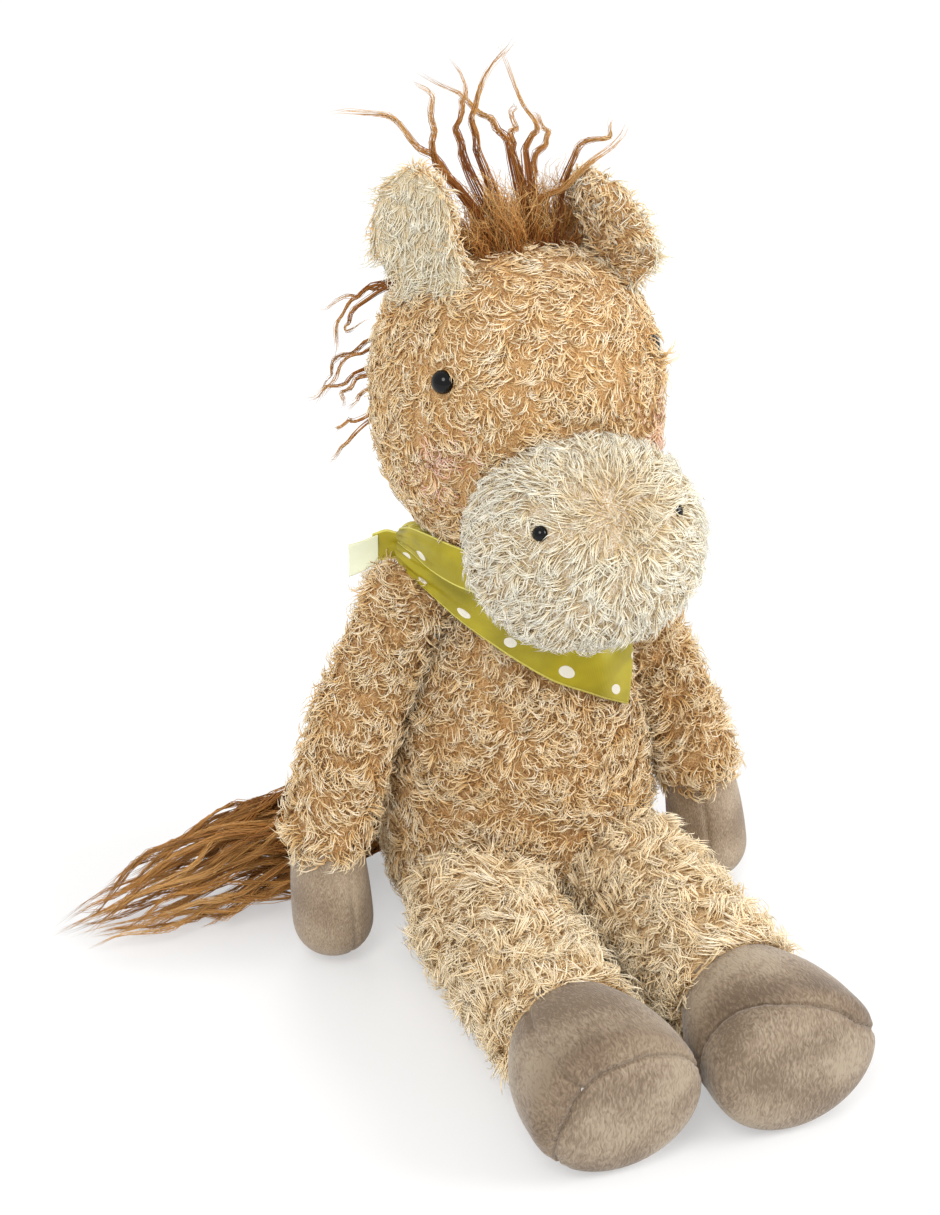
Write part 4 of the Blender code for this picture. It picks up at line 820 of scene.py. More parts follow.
class PLUSH_OT_head(bpy.types.Operator):
    """Curly tan head with sprayed cheeks"""
    bl_idname = "plush.head"
    bl_label = "Head"

    def execute(self, context):
        form, pile, finishes, _ = settings()
        centre, half, squareness = head_form(form)
        grid = oval(centre, half, squareness)
        backing("head_cloth", grid, "head_skin", "head", bpy.data.materials["tan knitted backing"])
        muzzle_centre, muzzle_half, _ = muzzle_form(form)
        neck = np.array([0, form.neck_setback, form.neck_height])
        eyes = [oval_place(centre, half, squareness, math.radians(a), EYE_RISE) for a in EYE_BEARINGS]

        def keep(roots):
            inside = (((roots - muzzle_centre) / (np.array(muzzle_half) - 2 * MM)) ** 2).sum(axis=1) < 1
            return ~inside & (np.linalg.norm(roots - neck, axis=1) > form.neck_radius - 4 * MM)

        crest = np.array(centre) + (0, 0.01, half[2])
        paths, tone = tufted(grid, away_from(crest), 12, pile.density, pile.head_reach, pile.head_rise,
                             scatter=55.0, keep=keep)
        left_eye = eyes[1][0]
        shaggy, deeper = tufted(
            grid, away_from(crest), 14, 1.3 * pile.density, pile.head_reach, 3.0 * pile.head_rise, scatter=90.0,
            keep=lambda roots: (roots[:, 1] < left_eye[1] - 1.5 * MM) & (
                np.linalg.norm(roots - left_eye, axis=1) < 10 * MM))
        paths, tone = np.concatenate([paths, shaggy]), np.concatenate([tone, deeper])
        for (eye, outward), reach in zip(eyes, EYE_CLEARINGS):
            paths, tone = clear_of(paths, tone, [eye], reach, [outward])
        roots = paths[:, 0]
        rng = np.random.default_rng(112)
        tones = toned(tone)
        for side in (-1, 1):
            cheek, _ = oval_place(centre, half, squareness, side * math.radians(50), -6 * MM)
            chance = 0.6 * np.exp(-(np.linalg.norm(roots - cheek, axis=1) / (11 * MM)) ** 2)
            tones = np.where(rng.random(len(roots)) < chance, 0.83 + 0.15 * rng.random(len(roots)), tones)
        lay_pile("head_pile", "head", paths, tones, bpy.data.materials["tan curly pile fibre"],
                 pile.width, lambda p: p[:, 0])
        return {"FINISHED"}


class PLUSH_OT_muzzle(bpy.types.Operator):
    """Cream muzzle with long brushed pile"""
    bl_idname = "plush.muzzle"
    bl_label = "Muzzle"

    def execute(self, context):
        form, pile, finishes, _ = settings()
        centre, half, squareness = muzzle_form(form)
        grid = oval(centre, half, squareness)
        # Painted shade: the backing's dyes are darkened by the root shade, for the shade under the pile
        cloth = cloth_material("cream knitted backing", shaded(finishes.cream_deep, finishes.root, 0.8),
                               finishes.cream_mid)
        backing("muzzle_cloth", grid, "muzzle_skin", "head", cloth)
        creams = dyes(finishes.cream_deep, finishes.cream_mid, finishes.cream_tip)
        fibre = fibre_material("cream long pile fibre", creams, raised(finishes.root, 0.55))
        head_centre, head_half, _ = head_form(form)
        nostrils = [oval_place(centre, half, squareness, math.radians(a), NOSTRIL_RISE) for a in NOSTRIL_BEARINGS]

        def keep(roots):
            return (((roots - head_centre) / (np.array(head_half) - 1 * MM)) ** 2).sum(axis=1) > 1

        whorl = np.array(centre) + (0, -0.7 * half[1], 0.72 * half[2])
        paths, tone = tufted(grid, away_from(whorl), 13, 1.25 * pile.density, pile.muzzle_reach, pile.muzzle_rise,
                             lock=4.2, swirl=14.0, bend=45.0, scatter=26.0, gather=0.85, keep=keep, stray=0.15)
        for (nostril, outward), reach in zip(nostrils, NOSTRIL_CLEARINGS):
            paths, tone = clear_of(paths, tone, [nostril], reach, [outward])
        near = np.exp(-(np.linalg.norm(paths[:, 0] - whorl, axis=1) / (21 * MM)) ** 2)
        lay_pile("muzzle_pile", "head", paths, toned(0.30 + 0.70 * tone, 0.8 * near), fibre,
                 0.9 * pile.width, lambda p: p[:, 0])
        return {"FINISHED"}


def ear_frame(form, spread_, lean, tip_in, bearing):
    """Hinge point and axes of an ear: along the hinge, away from the lining, and up."""
    centre, half, squareness = head_form(form)
    rise = half[2] * (1 - abs(spread_ / half[0]) ** squareness) ** (1 / squareness)
    outward = unit(np.array([
        math.copysign(abs(spread_ / half[0]) ** (squareness - 1) / half[0], spread_), 0,
        (rise / half[2]) ** (squareness - 1) / half[2]]))
    hinge = np.array([math.cos(bearing), math.sin(bearing), 0])
    hinge = unit(hinge - outward * hinge.dot(outward))
    up = np.array([-math.copysign(1, spread_) * math.sin(tip_in), math.sin(lean), math.cos(lean)])
    up = unit(up - hinge * up.dot(hinge))
    lift = 2.9 * MM if spread_ < 0 else 1.2 * MM
    return np.array(centre) + (spread_, 0, rise) + outward * lift, hinge, np.cross(up, hinge), up


def ear_side(form, place, hinge, behind, up, offset, wide, tall, rows=30, columns=24):
    """One face of an ear: an upright leaf whose edges curl to the lining by the cup times the square across."""
    level = np.linspace(-0.22 if place[0] < 0 else -0.08, 1, rows)[:, None]
    across = np.linspace(-1, 1, columns)[None]
    half = wide * form.ear_half_width * smooth(EAR_WIDTH_SHARES, np.maximum(level, 0)) * np.sqrt(
        np.clip(1 - np.clip((level - 0.9) / 0.1, 0, 1) ** 2 * 0.9, 0, 1))
    bend = form.ear_cup * np.clip(level * 4, 0, 1) ** 2 * (1 - level / 2)
    depth = -bend * across ** 2 + offset * np.sqrt(1 - 0.85 * across ** 2)
    return (place + hinge * (half * across)[..., None] + behind * depth[..., None]
            + up * (tall * form.ear_height * level + 0 * across)[..., None])


class PLUSH_OT_ears(bpy.types.Operator):
    """Two ears of tan pile with a cream lining"""
    bl_idname = "plush.ears"
    bl_label = "Ears"

    def execute(self, context):
        form, pile, finishes, _ = settings()
        cream = cloth_material("lining knitted backing", finishes.cream_deep, finishes.lining)
        fibre = fibre_material("lining pile fibre", dyes(finishes.cream_mid, finishes.lining, finishes.cream_tip),
                               raised(finishes.root, 0.5))
        ears = (("right", -0.0295, 16, 3, -50, 1.06, 1.0), ("left", 0.0300, -15, 8, 119, 1.22, 0.9))
        for number, (name, spread_, lean, tip_in, bearing, wide, tall) in enumerate(ears):
            place, hinge, behind, up = ear_frame(form, spread_, *(math.radians(a) for a in (lean, tip_in, bearing)))
            for part, offset, slot, cloth, strand, lay, seed in (
                    ("back", form.ear_thickness, "tan_pile", bpy.data.materials["tan knitted backing"],
                     bpy.data.materials["tan curly pile fibre"], up, 21),
                    ("lining", -form.ear_thickness, "ear_lining", cream, fibre, -up - 0.4 * hinge, 31)):
                outer = ear_side(form, place, hinge, behind, up, offset, wide, tall)
                middle = ear_side(form, place, hinge, behind, up, 0.0, wide, tall)
                order = slice(None) if offset > 0 else slice(None, None, -1)
                ring = np.concatenate([outer[:, order], middle[:, order][:, ::-1]], axis=1)
                backing(f"{name}_ear_{part}_cloth", closed(ring, True, True), f"{name}_ear_{part}", f"{name}_ear",
                        cloth)
                curly = part == "back"
                paths, tone = tufted(
                    ring, towards(lay), seed + number, 1.2 * pile.density,
                    pile.ear_reach if curly else pile.lining_reach, pile.ear_rise,
                    lock=5.5 if curly else 4.0, bend=130.0 if curly else 50.0, scatter=80.0 if curly else 22.0,
                    gather=0.6 if curly else 0.8,
                    keep=lambda p: ((p - place) * behind * math.copysign(1, offset)).sum(axis=1) > -form.ear_cup * 1.1)
                lay_pile(f"{name}_ear_{part}_pile", f"{name}_ear", paths, toned(tone), strand, 0.9 * pile.width,
                         lambda p: p[:, 2])
        return {"FINISHED"}


class PLUSH_OT_arms(bpy.types.Operator):
    """Two curly arms with brushed felt hooves"""
    bl_idname = "plush.arms"
    bl_label = "Arms"

    def execute(self, context):
        form, pile, finishes, _ = settings()
        felt = minky_material("brushed felt", finishes, (1.6, 1.6, 0.5))
        sides = (("right", -1, RIGHT_ARM_SHARES), ("left", 1, LEFT_ARM_SHARES))
        for name, side, shares in sides:
            place, sizes = arm_form(form, side, shares)
            facing = np.array([0.0, -1.0, 0.0])
            sleeve = limb_grid(place, sizes, 0.0, form.wrist + 1 * MM, facing, root=form.shoulder_radius)
            backing(f"{name}_arm_cloth", closed(sleeve, last=True), f"{name}_arm_sleeve", f"{name}_arm",
                    bpy.data.materials["tan knitted backing"])
            hoof = limb_grid(place, sizes, form.wrist - 2 * MM, form.arm_length - form.arm_hoof_end, facing,
                             tip=(form.arm_hoof_end, 2.3), rows=40, columns=ARM_HOOF_COLUMNS)
            inner = math.radians(108 if side < 0 else 72)
            crease = 0.9 * MM * np.exp(-((ring_angles(ARM_HOOF_COLUMNS) - inner) / 0.07) ** 2)
            middle = hoof.mean(axis=1, keepdims=True)
            hoof = hoof - unit(hoof - middle) * np.minimum(crease[None, :, None], 0.3 * np.linalg.norm(
                hoof - middle, axis=-1, keepdims=True))
            if side > 0:
                self.filling(form, place, sizes, facing)
            backing(f"{name}_arm_hoof_felt", closed(hoof, first=True), f"{name}_arm_hoof", f"{name}_arm",
                    felt)
            paths, tone = tufted(sleeve, towards((0.1 * side, 0, -1)), 41 + side, pile.density, pile.curly_reach,
                                 pile.curly_rise, scatter=60.0)
            if side < 0:
                paths, tone = clear_of(paths, tone, ribbon_spots(), SATIN_CLEARING)
            lay_pile(f"{name}_arm_pile", f"{name}_arm", paths, toned(tone),
                     bpy.data.materials["tan curly pile fibre"], pile.width, lambda p: p[:, 2])
        return {"FINISHED"}

    def filling(self, form, place, sizes, facing):
        """Filling of the left arm, 2 mm inside its cloth; it gets its material with the other fillings."""
        inset = 2 * MM

        def slim(distance):
            return [size - inset for size in sizes(distance)]

        core = limb_grid(place, slim, inset, form.arm_length - form.arm_hoof_end - 1 * MM, facing,
                         tip=(form.arm_hoof_end - inset, 2.0), root=0.7 * form.shoulder_radius)
        place_piece(shell("left_arm_filling", core), None, "left_arm", "left_arm_stuffing")


# Sole seams: degrees round the hoof, and millimetres on from the wall's end to the seam
RIGHT_SOLE_SEAM = np.array([
    (0, 6.6), (15, 7.2), (45, 6.9), (65, 6.7), (85, 6.7), (105, 6.0), (125, 5.1), (145, 3.5), (180, 0.0), (230, -4.0),
    (290, -1.5), (323, 2.9), (346, 5.7), (360, 6.6)])
LEFT_SOLE_SEAM = np.array([
    (0, -9.9), (11, -9.7), (26, -8.4), (49, -5.7), (70, 0.2), (91, 3.2), (111, 4.8), (142, 5.6), (165, 3.0),
    (190, -2.0), (230, -6.0), (290, -9.0), (340, -10.0), (360, -9.9)])


class PLUSH_OT_legs(bpy.types.Operator):
    """Two pale shaggy legs with big minky hooves"""
    bl_idname = "plush.legs"
    bl_label = "Legs"

    def execute(self, context):
        form, pile, finishes, _ = settings()
        # Painted shade: the backing's dyes are darkened by the root shade, for the shade under the pile
        cloth = cloth_material("pale knitted backing", shaded(finishes.pale_deep, finishes.root, 0.5),
                               shaded(finishes.pale_mid, finishes.root, 0.1))
        fibre = fibre_material("pale curly pile fibre", dyes(finishes.pale_deep, finishes.pale_mid, finishes.pale_tip),
                               raised(finishes.root, 0.4), 0.2, climb=0.28)
        # Painted shade: the wall and the sole darken towards the sole seam, with a dark line in its crease
        wall_minky = minky_material("brushed minky wall", finishes, (1.0, 0.26, 0.6), (
            (0.0, grey(0.84)), (0.40, (0.80, 0.79, 0.78)), (0.70, (0.58, 0.54, 0.50)), (0.92, (0.66, 0.63, 0.60)),
            (0.962, grey(0.70)), (0.99, grey(0.3))))
        sole_minky = minky_material("brushed minky sole", finishes, (1.0, 0.6, 0.26), (
            (0.0, grey(0.80)), (0.55, grey(0.78)), (0.85, (0.72, 0.70, 0.68)), (0.962, grey(0.74)),
            (0.99, grey(0.3))))
        facing = np.array([0.0, 0.0, 1.0])
        for name, side, table in (("right", -1, RIGHT_SOLE_SEAM), ("left", 1, LEFT_SOLE_SEAM)):
            place, sizes = leg_form(form, side)
            sleeve = limb_grid(place, sizes, 0.0, form.ankle + 1 * MM, facing, root=form.hip_radius)
            backing(f"{name}_leg_cloth", closed(sleeve, last=True), f"{name}_leg_sleeve", f"{name}_leg",
                    cloth)
            seam = form.leg_length - form.hoof_end + smooth(table, np.degrees(ring_angles(HOOF_COLUMNS))) * MM
            wall = hoof_grid(form, side, form.ankle - 2 * MM, seam, -1)
            backing(f"{name}_leg_wall_minky", closed(wall, True, True), f"{name}_leg_hoof_wall", f"{name}_leg",
                    wall_minky)
            sole = hoof_grid(form, side, seam, form.leg_length, 0)[::-1]
            backing(f"{name}_leg_sole_minky", closed(sole, last=True), f"{name}_leg_hoof_sole", f"{name}_leg",
                    sole_minky)
            ahead = place(np.array([1.0]))[0] - place(np.array([0.0]))[0]
            paths, tone = tufted(sleeve, towards(ahead + (0, 0, -0.3)), 51 + side, pile.density, pile.leg_reach,
                                 pile.leg_rise, lock=7.0, swirl=26.0, scatter=80.0, bend=150.0)
            lay_pile(f"{name}_leg_pile", f"{name}_leg", paths, toned(tone), fibre,
                     1.05 * pile.width, lambda p: p[:, 1])
        return {"FINISHED"}


class PLUSH_OT_beads(bpy.types.Operator):
    """Glossy bead eyes and nostrils"""
    bl_idname = "plush.beads"
    bl_label = "Beads"

    def execute(self, context):
        form, _, finishes, _ = settings()
        gloss, tree, shader = new_material("polished black bead", Base_Color=(*finishes.bead, 1.0), Roughness=0.06,
                                           Specular_IOR_Level=0.22, Coat_Weight=0.1, Coat_Roughness=0.03)
        place = add_node(tree, "ShaderNodeTexCoord")
        haze = add_node(tree, "ShaderNodeTexNoise", {"Vector": place.outputs["Object"], "Scale": 600.0})
        wear = add_node(tree, "ShaderNodeMapRange", {"Value": haze.outputs["Fac"], "To Min": 0.04, "To Max": 0.12})
        tree.links.new(wear.outputs["Result"], shader.inputs["Roughness"])
        beads = (("eye", head_form(form), EYE_BEARINGS, EYE_RISE, 4.1 * MM, 3.4 * MM),
                 ("nostril", muzzle_form(form), NOSTRIL_BEARINGS, NOSTRIL_RISE, 2.6 * MM, 2.2 * MM))
        for part, shape, bearings, rise, radius, dome in beads:
            for name, bearing in zip(("right", "left"), bearings):
                spot, outward = oval_place(*shape, math.radians(bearing), rise)
                facing = np.array([0.0, 0.0, 1.0])
                level = np.linspace(0, math.pi, 24)
                height = np.where(level < math.pi / 2, dome, 0.8 * MM) * np.cos(level)
                centres = spot + outward * (BEAD_STAND[name] + height)[:, None]
                size = radius * np.sin(level)
                size[[0, -1]] = 0
                grid = rings(centres, np.broadcast_to(outward, centres.shape), facing, size, size, 32)
                place_piece(shell(f"{name}_{part}_bead", grid), gloss, "head", f"{name}_{part}")
        return {"FINISHED"}


# Fibres of a lock, its radii at root and tip, and its wave: for the long locks, and for the short down at their roots
FORELOCK_TUFT, FORELOCK_DOWN = (30, 4.0 * MM, 0.35 * MM, 0.7 * MM), (30, 3.5 * MM, 2.4 * MM, 4.0 * MM)
MANE_TUFT, MANE_DOWN = (16, 2.0 * MM, 0.35 * MM, 0.6 * MM), (26, 2.6 * MM, 1.6 * MM, 1.8 * MM)
# Long locks of the forelock and mane, in millimetres, each as a line from its root to its tip
FORELOCK_LINES = (
    ((-6, -6, 264), (-17.7, 9.6, 285.5), (-24.9, 16.4, 295.4), (-31.2, 20.9, 302.1), (-42.2, 26.7, 311.1),
     (-59.0, 29.1, 310.6)),
    ((-5, -4, 264), (-18.3, 7.9, 286.2), (-26.1, 13.0, 296.8), (-26.0, 14.3, 306.0), (-26.9, 13.4, 317.7),
     (-33.1, 16.6, 326.1)),
    ((-5, -10, 264), (-14.1, 17.7, 295.3), (-13.9, 23.1, 301.2), (-11.1, 27.9, 307.7), (-8.1, 31.2, 311.9),
     (-11.6, 41.3, 323.5)),
    ((-3, -5, 264), (-9.2, 12.5, 294.7), (-10.5, 16.7, 303.1), (-9.4, 19.8, 311.1), (-3.5, 22.2, 320.8),
     (7.6, 23.2, 333.6)),
    ((3, -8, 264), (1.5, 12.0, 293.5), (1.0, 18.6, 299.8), (-2.4, 25.0, 303.7), (-7.5, 32.9, 309.1),
     (-22.0, 48.0, 316.1)),
    ((3, -9, 264), (4.2, 17.3, 294.0), (8.0, 27.5, 298.5), (11.8, 38.7, 304.6)),
    ((5, -5, 264), (4.8, 5.3, 287.6), (5.8, 11.1, 296.8), (10.5, 13.0, 301.6), (9.4, 17.8, 307.6),
     (2.4, 35.3, 330.2)),
    ((6, -8, 264), (7.1, 6.5, 285.1), (10.7, 13.4, 291.7), (16.9, 18.1, 296.1), (17.6, 23.8, 298.6),
     (15.4, 31.6, 303.0)),
    ((7, -5, 264), (2.9, -4.8, 274.4), (6.3, -3.0, 283.0), (15.4, -4.4, 289.8), (28.5, -7.4, 299.9),
     (37.2, -7.6, 311.9)),
    ((8, -8, 264), (17.1, 2.6, 286.9), (24.3, 8.1, 295.5), (35.2, 9.0, 298.7), (38.6, 13.3, 302.9)),
)
MANE_LINES = (
    ((-22, 38, 245), (-38.8, 38.5, 241.6), (-46.7, 41.7, 238.1), (-59.9, 45.4, 232.1)),
    ((-22, 38, 245), (-43.6, 38.6, 240.8), (-53.0, 37.2, 230.6), (-56.8, 33.2, 217.3)),
    ((-24, 36, 243), (-39.6, 36.3, 240.8), (-49.9, 35.7, 232.3), (-51.4, 34.5, 228.9), (-40.2, 33.7, 232.5)),
    ((-26, 36, 232), (-43.0, 31.2, 225.2), (-56.1, 34.2, 216.7), (-61.6, 32.8, 205.5)),
    ((-26, 36, 230), (-43.2, 28.7, 223.6), (-52.8, 31.0, 218.8), (-64.4, 27.8, 203.6)),
    ((-26, 36, 222), (-46.9, 26.7, 216.6), (-57.1, 29.5, 210.9), (-69.3, 32.8, 204.8)),
    ((-26, 36, 220), (-47.2, 24.6, 214.9), (-55.7, 25.8, 209.6), (-56.5, 23.6, 203.4)),
    ((-26, 36, 214), (-46.8, 22.8, 211.0), (-54.8, 23.4, 204.0)),
    ((-26, 34, 205), (-49.2, 19.1, 202.3), (-56.3, 22.4, 199.3), (-61.7, 24.1, 194.7)),
    ((-26, 34, 203), (-48.6, 17.7, 200.9), (-57.4, 18.2, 192.9), (-64.2, 19.2, 186.9)),
)


def lock_paths(line, fibres, root_radius, tip_radius, wave, steps, rng):
    """Fibres that follow a line through points: offset by a radius that shrinks, plus slow waves of their own and
    tight ones that the lock shares."""
    points = np.asarray(line, dtype=float) * MM
    table = np.column_stack([np.linspace(0, 1, len(points)), points])
    ends = rng.uniform(0.72, 1.0, fibres)
    s = np.linspace(0, 1, steps)[None] * ends[:, None]
    centre = np.stack([smooth(table, s, i) for i in (1, 2, 3)], axis=-1)
    around = unit(rng.normal(size=(fibres, 3)))[:, None]
    reach = (root_radius + (tip_radius - root_radius) * s ** 0.35) * rng.uniform(0.1, 1.0, (fibres, 1)) ** 0.5
    phase, beat = rng.uniform(0, math.tau, (2, fibres, 1, 3))
    sway = np.sin(phase + (2.0 + beat / 2) * s[..., None] * 2) * wave * s[..., None]
    kink = np.sin(rng.uniform(0, math.tau, 3) + rng.uniform(16, 30, 3) * s[..., None]) * 0.8 * MM
    return centre + around * reach[..., None] + sway + kink * np.minimum(2 * s, 1)[..., None]


def hair(name, groups, finish, seed, node):
    """Wool fibres of several locks as one piece; each group is (line, fibres, root radius, tip radius, wave)."""
    rng = np.random.default_rng(seed)
    steps = 14
    paths = np.concatenate([lock_paths(*group, steps, rng) for group in groups])
    paths[..., 2] = np.maximum(paths[..., 2], FLOOR_GAP)
    radii = WOOL_WIDTH / 2 * np.linspace(1, 0.45, steps - 1)
    place_piece(strands(name, paths, radii, rng.beta(2, 2, len(paths))), finish, "head", node)


def wool_material(finishes):
    """Combed wool: shiny brown fibres, darker at the root by painted shade."""
    stops = ((0.0, finishes.hair_dark), (0.45, finishes.hair), (1.0, finishes.hair_light))
    return fibre_material("combed wool fibre", stops, raised(finishes.root, 1.6), 0.03, 0.6, 0.5)


class PLUSH_OT_hair(bpy.types.Operator):
    """Wool forelock, mane and tail"""
    bl_idname = "plush.hair"
    bl_label = "Hair"

    def execute(self, context):
        form, _, finishes, _ = settings()
        wool = wool_material(finishes)
        groups = [(line, *FORELOCK_TUFT) for line in FORELOCK_LINES]
        rng = np.random.default_rng(71)
        for _ in range(42):
            root = np.array([rng.uniform(-13, 13), rng.uniform(-12, 2), 262.0])
            tip = root + (0.9 * root[0] + rng.uniform(-10, 10), rng.uniform(2, 22), rng.uniform(13, 33))
            middle = (root + tip) / 2 + rng.uniform(-4, 4, 3)
            groups.append(((root, middle, tip), *FORELOCK_DOWN))
        hair("forelock_wool", groups, wool, 72, "forelock")
        groups = [(line, *MANE_TUFT) for line in MANE_LINES]
        for _ in range(40):
            height = rng.uniform(-32, 44)
            spot, outward = oval_place(*head_form(form), math.radians(180 + rng.uniform(-4, 12)), height * MM)
            root = spot / MM
            out = outward * 5
            side = rng.uniform(-26, 4)
            middle = root + out + (side * 0.5, 0, 3)
            tip = root + out * 0.9 + (side, -0.16 * abs(side), rng.uniform(-16, 2))
            groups.append(((root, middle, tip), *MANE_DOWN))
        hair("mane_wool", groups, wool, 73, "mane")
        self.tail(wool)
        return {"FINISHED"}

    def tail(self, wool):
        """Thick tail on the floor, swept to the right: wavy locks inside a spindle, each a bundle of fibres."""
        rng = np.random.default_rng(81)
        locks, fibres, steps = 112, 17, 15
        total = locks * fibres
        which = np.repeat(np.arange(locks), fibres)
        ends = rng.uniform(0.45, 1.0, locks)[which] * rng.uniform(0.85, 1.0, total)
        s = np.linspace(0, 1, steps)[None] * ends[:, None]
        x, y, z, wide, high = (smooth(TAIL_TABLE, s, i) for i in (1, 2, 3, 4, 5))
        angle = (rng.uniform(0, math.tau, locks)[which][:, None] + rng.uniform(-0.9, 0.9, locks)[which][:, None] * s)
        inward = (rng.uniform(0.15, 1.0, locks) ** 0.5)[which][:, None]
        phase = rng.uniform(0, math.tau, (locks, 3))[which][:, None] + rng.normal(0, 0.25, (total, 1, 3))
        beat = rng.uniform(12, 30, (locks, 3))[which][:, None]
        wave = np.sin(phase + beat * s[..., None]) * (3.0 * np.minimum(s * 4, 1))[..., None]
        spin = rng.uniform(0, math.tau, total)[:, None]
        bundle = (1.5 - 1.2 * s / ends[:, None]) * rng.uniform(0.1, 1.0, total)[:, None] ** 0.5
        paths = np.stack([
            x, y + wide * inward * np.cos(angle) + bundle * np.cos(spin),
            z + high * inward * np.sin(angle) + bundle * np.sin(spin)], axis=-1) + wave
        paths = paths * MM
        paths[..., 2] = np.maximum(paths[..., 2], 0.4 * MM + 0.6 * MM * rng.random((total, 1)))
        tone = 0.45 * rng.random(locks)[which] + 0.3 * rng.random(total)
        made = strands("tail_wool", paths, TAIL_WOOL_WIDTH / 2 * np.linspace(1, 0.5, steps - 1), tone)
        place_piece(made, wool, "tail", "tail")


# Tail: share, place, and half width and half height of its spindle, in millimetres
TAIL_TABLE = np.array([
    (0.00, 0.5, 41.0, 21.5, 3.5, 3.5), (0.06, -7.0, 46.5, 21.0, 6.5, 6.5), (0.14, -22.0, 52.6, 20.5, 9.5, 10.0),
    (0.30, -50.4, 48.0, 19.5, 18.0, 17.0), (0.52, -87.4, 38.0, 19.5, 24.0, 18.5),
    (0.78, -131.0, 32.0, 13.0, 20.0, 12.5), (1.00, -172.0, 30.0, 3.5, 10.0, 2.5)])


# Ribbon: share, place of the lower edge and width of each strip, in millimetres
FRONT_TAIL_TABLE = np.array([
    (0.000, -42.3, 5.5, 154.5, 6.0), (0.050, -44.2, 1.0, 153.4, 8.0), (0.110, -43.2, -6.5, 152.0, 11.0),
    (0.190, -39.8, -14.2, 149.1, 15.0), (0.300, -31.2, -20.9, 140.0, 21.0), (0.432, -20.9, -29.3, 131.6, 28.0),
    (0.559, -10.4, -34.3, 123.4, 33.0), (0.687, 1.1, -37.9, 115.7, 36.0), (0.847, 16.7, -37.2, 106.9, 37.0),
    (1.000, 30.5, -32.2, 98.1, 37.0)])
COLLAR_TABLE = np.array([
    (0.00, -38.5, 8.0, 159.0, 4.0), (0.07, -43.2, 3.5, 159.3, 5.0), (0.17, -43.2, -3.0, 160.3, 7.5),
    (0.27, -42.6, -8.5, 160.9, 9.5), (0.50, -40.6, -21.0, 160.5, 12.5), (0.68, -35.4, -31.2, 158.6, 14.0),
    (0.80, -29.0, -35.8, 156.3, 14.5), (0.90, -20.0, -38.0, 152.5, 14.0), (1.00, -8.0, -38.0, 149.5, 12.0)])
BACK_TAIL_TABLE = np.array([
    (0.00, -39.5, 6.5, 151.5, 8.0), (0.30, -43.0, 8.5, 150.3, 10.5), (0.70, -46.1, 11.0, 148.8, 12.2),
    (1.00, -49.6, 14.2, 147.4, 11.0)])
CORNER_TABLE = np.array([
    (0.00, -48.0, 12.6, 147.6, 11.0), (0.25, -49.6, 13.2, 146.3, 11.6), (0.60, -53.6, 15.0, 143.4, 12.2),
    (1.00, -57.7, 17.0, 141.1, 12.8)])


def strip(table, leans, rows=90, columns=24, folds=0.0, fold_count=3, swell=0.0, cut=None, hang=0.0):
    """Ribbon strip: a smooth lower edge, and a line square to it by the width, which leans outwards by an angle that
    runs through the three given ones. Folds run along it and fade with the square of the way left; the swell curves
    it across. Towards the cut end that line turns to the cut's direction. A hang of 1 makes the line upright."""
    s = np.linspace(0, 1, rows)
    line = np.stack([smooth(table, s, i) for i in (1, 2, 3)], axis=-1) * MM
    width = smooth(table, s, 4) * MM
    along = unit(np.gradient(line, axis=0))
    face = unit(np.cross(along, (0.0, 0.0, 1.0)))
    square = unit(np.cross(face, along) * (1 - hang) + np.array([0.0, 0.0, hang]))
    lean = np.interp(s, (0, 0.25, 1), np.radians(leans))[:, None]
    rise = square * np.cos(lean) + face * np.sin(lean)
    if cut is not None:
        turned = np.clip((s[:, None] - 0.5) / 0.42, 0, 1)
        turned = turned * turned * (3 - 2 * turned)
        rise = unit(rise * (1 - turned) + np.array(cut) * turned)
    across = np.linspace(0, 1, columns)[None]
    ease = (1 - s[:, None]) ** 2
    wave = folds * np.cos(across * math.tau * fold_count) * ease + swell * np.sin(across * math.pi)
    return line[:, None] + rise[:, None] * (width[:, None] * across)[..., None] + face[:, None] * wave[..., None]


def front_tail():
    """Long ribbon end on the chest, dimpled below the muzzle where it was tied."""
    grid = strip(FRONT_TAIL_TABLE, (-14, -4, 8), folds=0.7 * MM, swell=1.2 * MM, cut=(-0.07, -0.2, 0.977))
    dimple = np.linalg.norm(grid - np.array([20.5, -40.0, 128.0]) * MM, axis=-1)
    grid[..., 1] += 3.0 * MM * np.exp(-(dimple / (3.6 * MM)) ** 2)
    return grid


def ribbon_spots():
    """Places on the long ribbon end, which presses the pile down."""
    return front_tail()[::6, ::3].reshape(-1, 3)


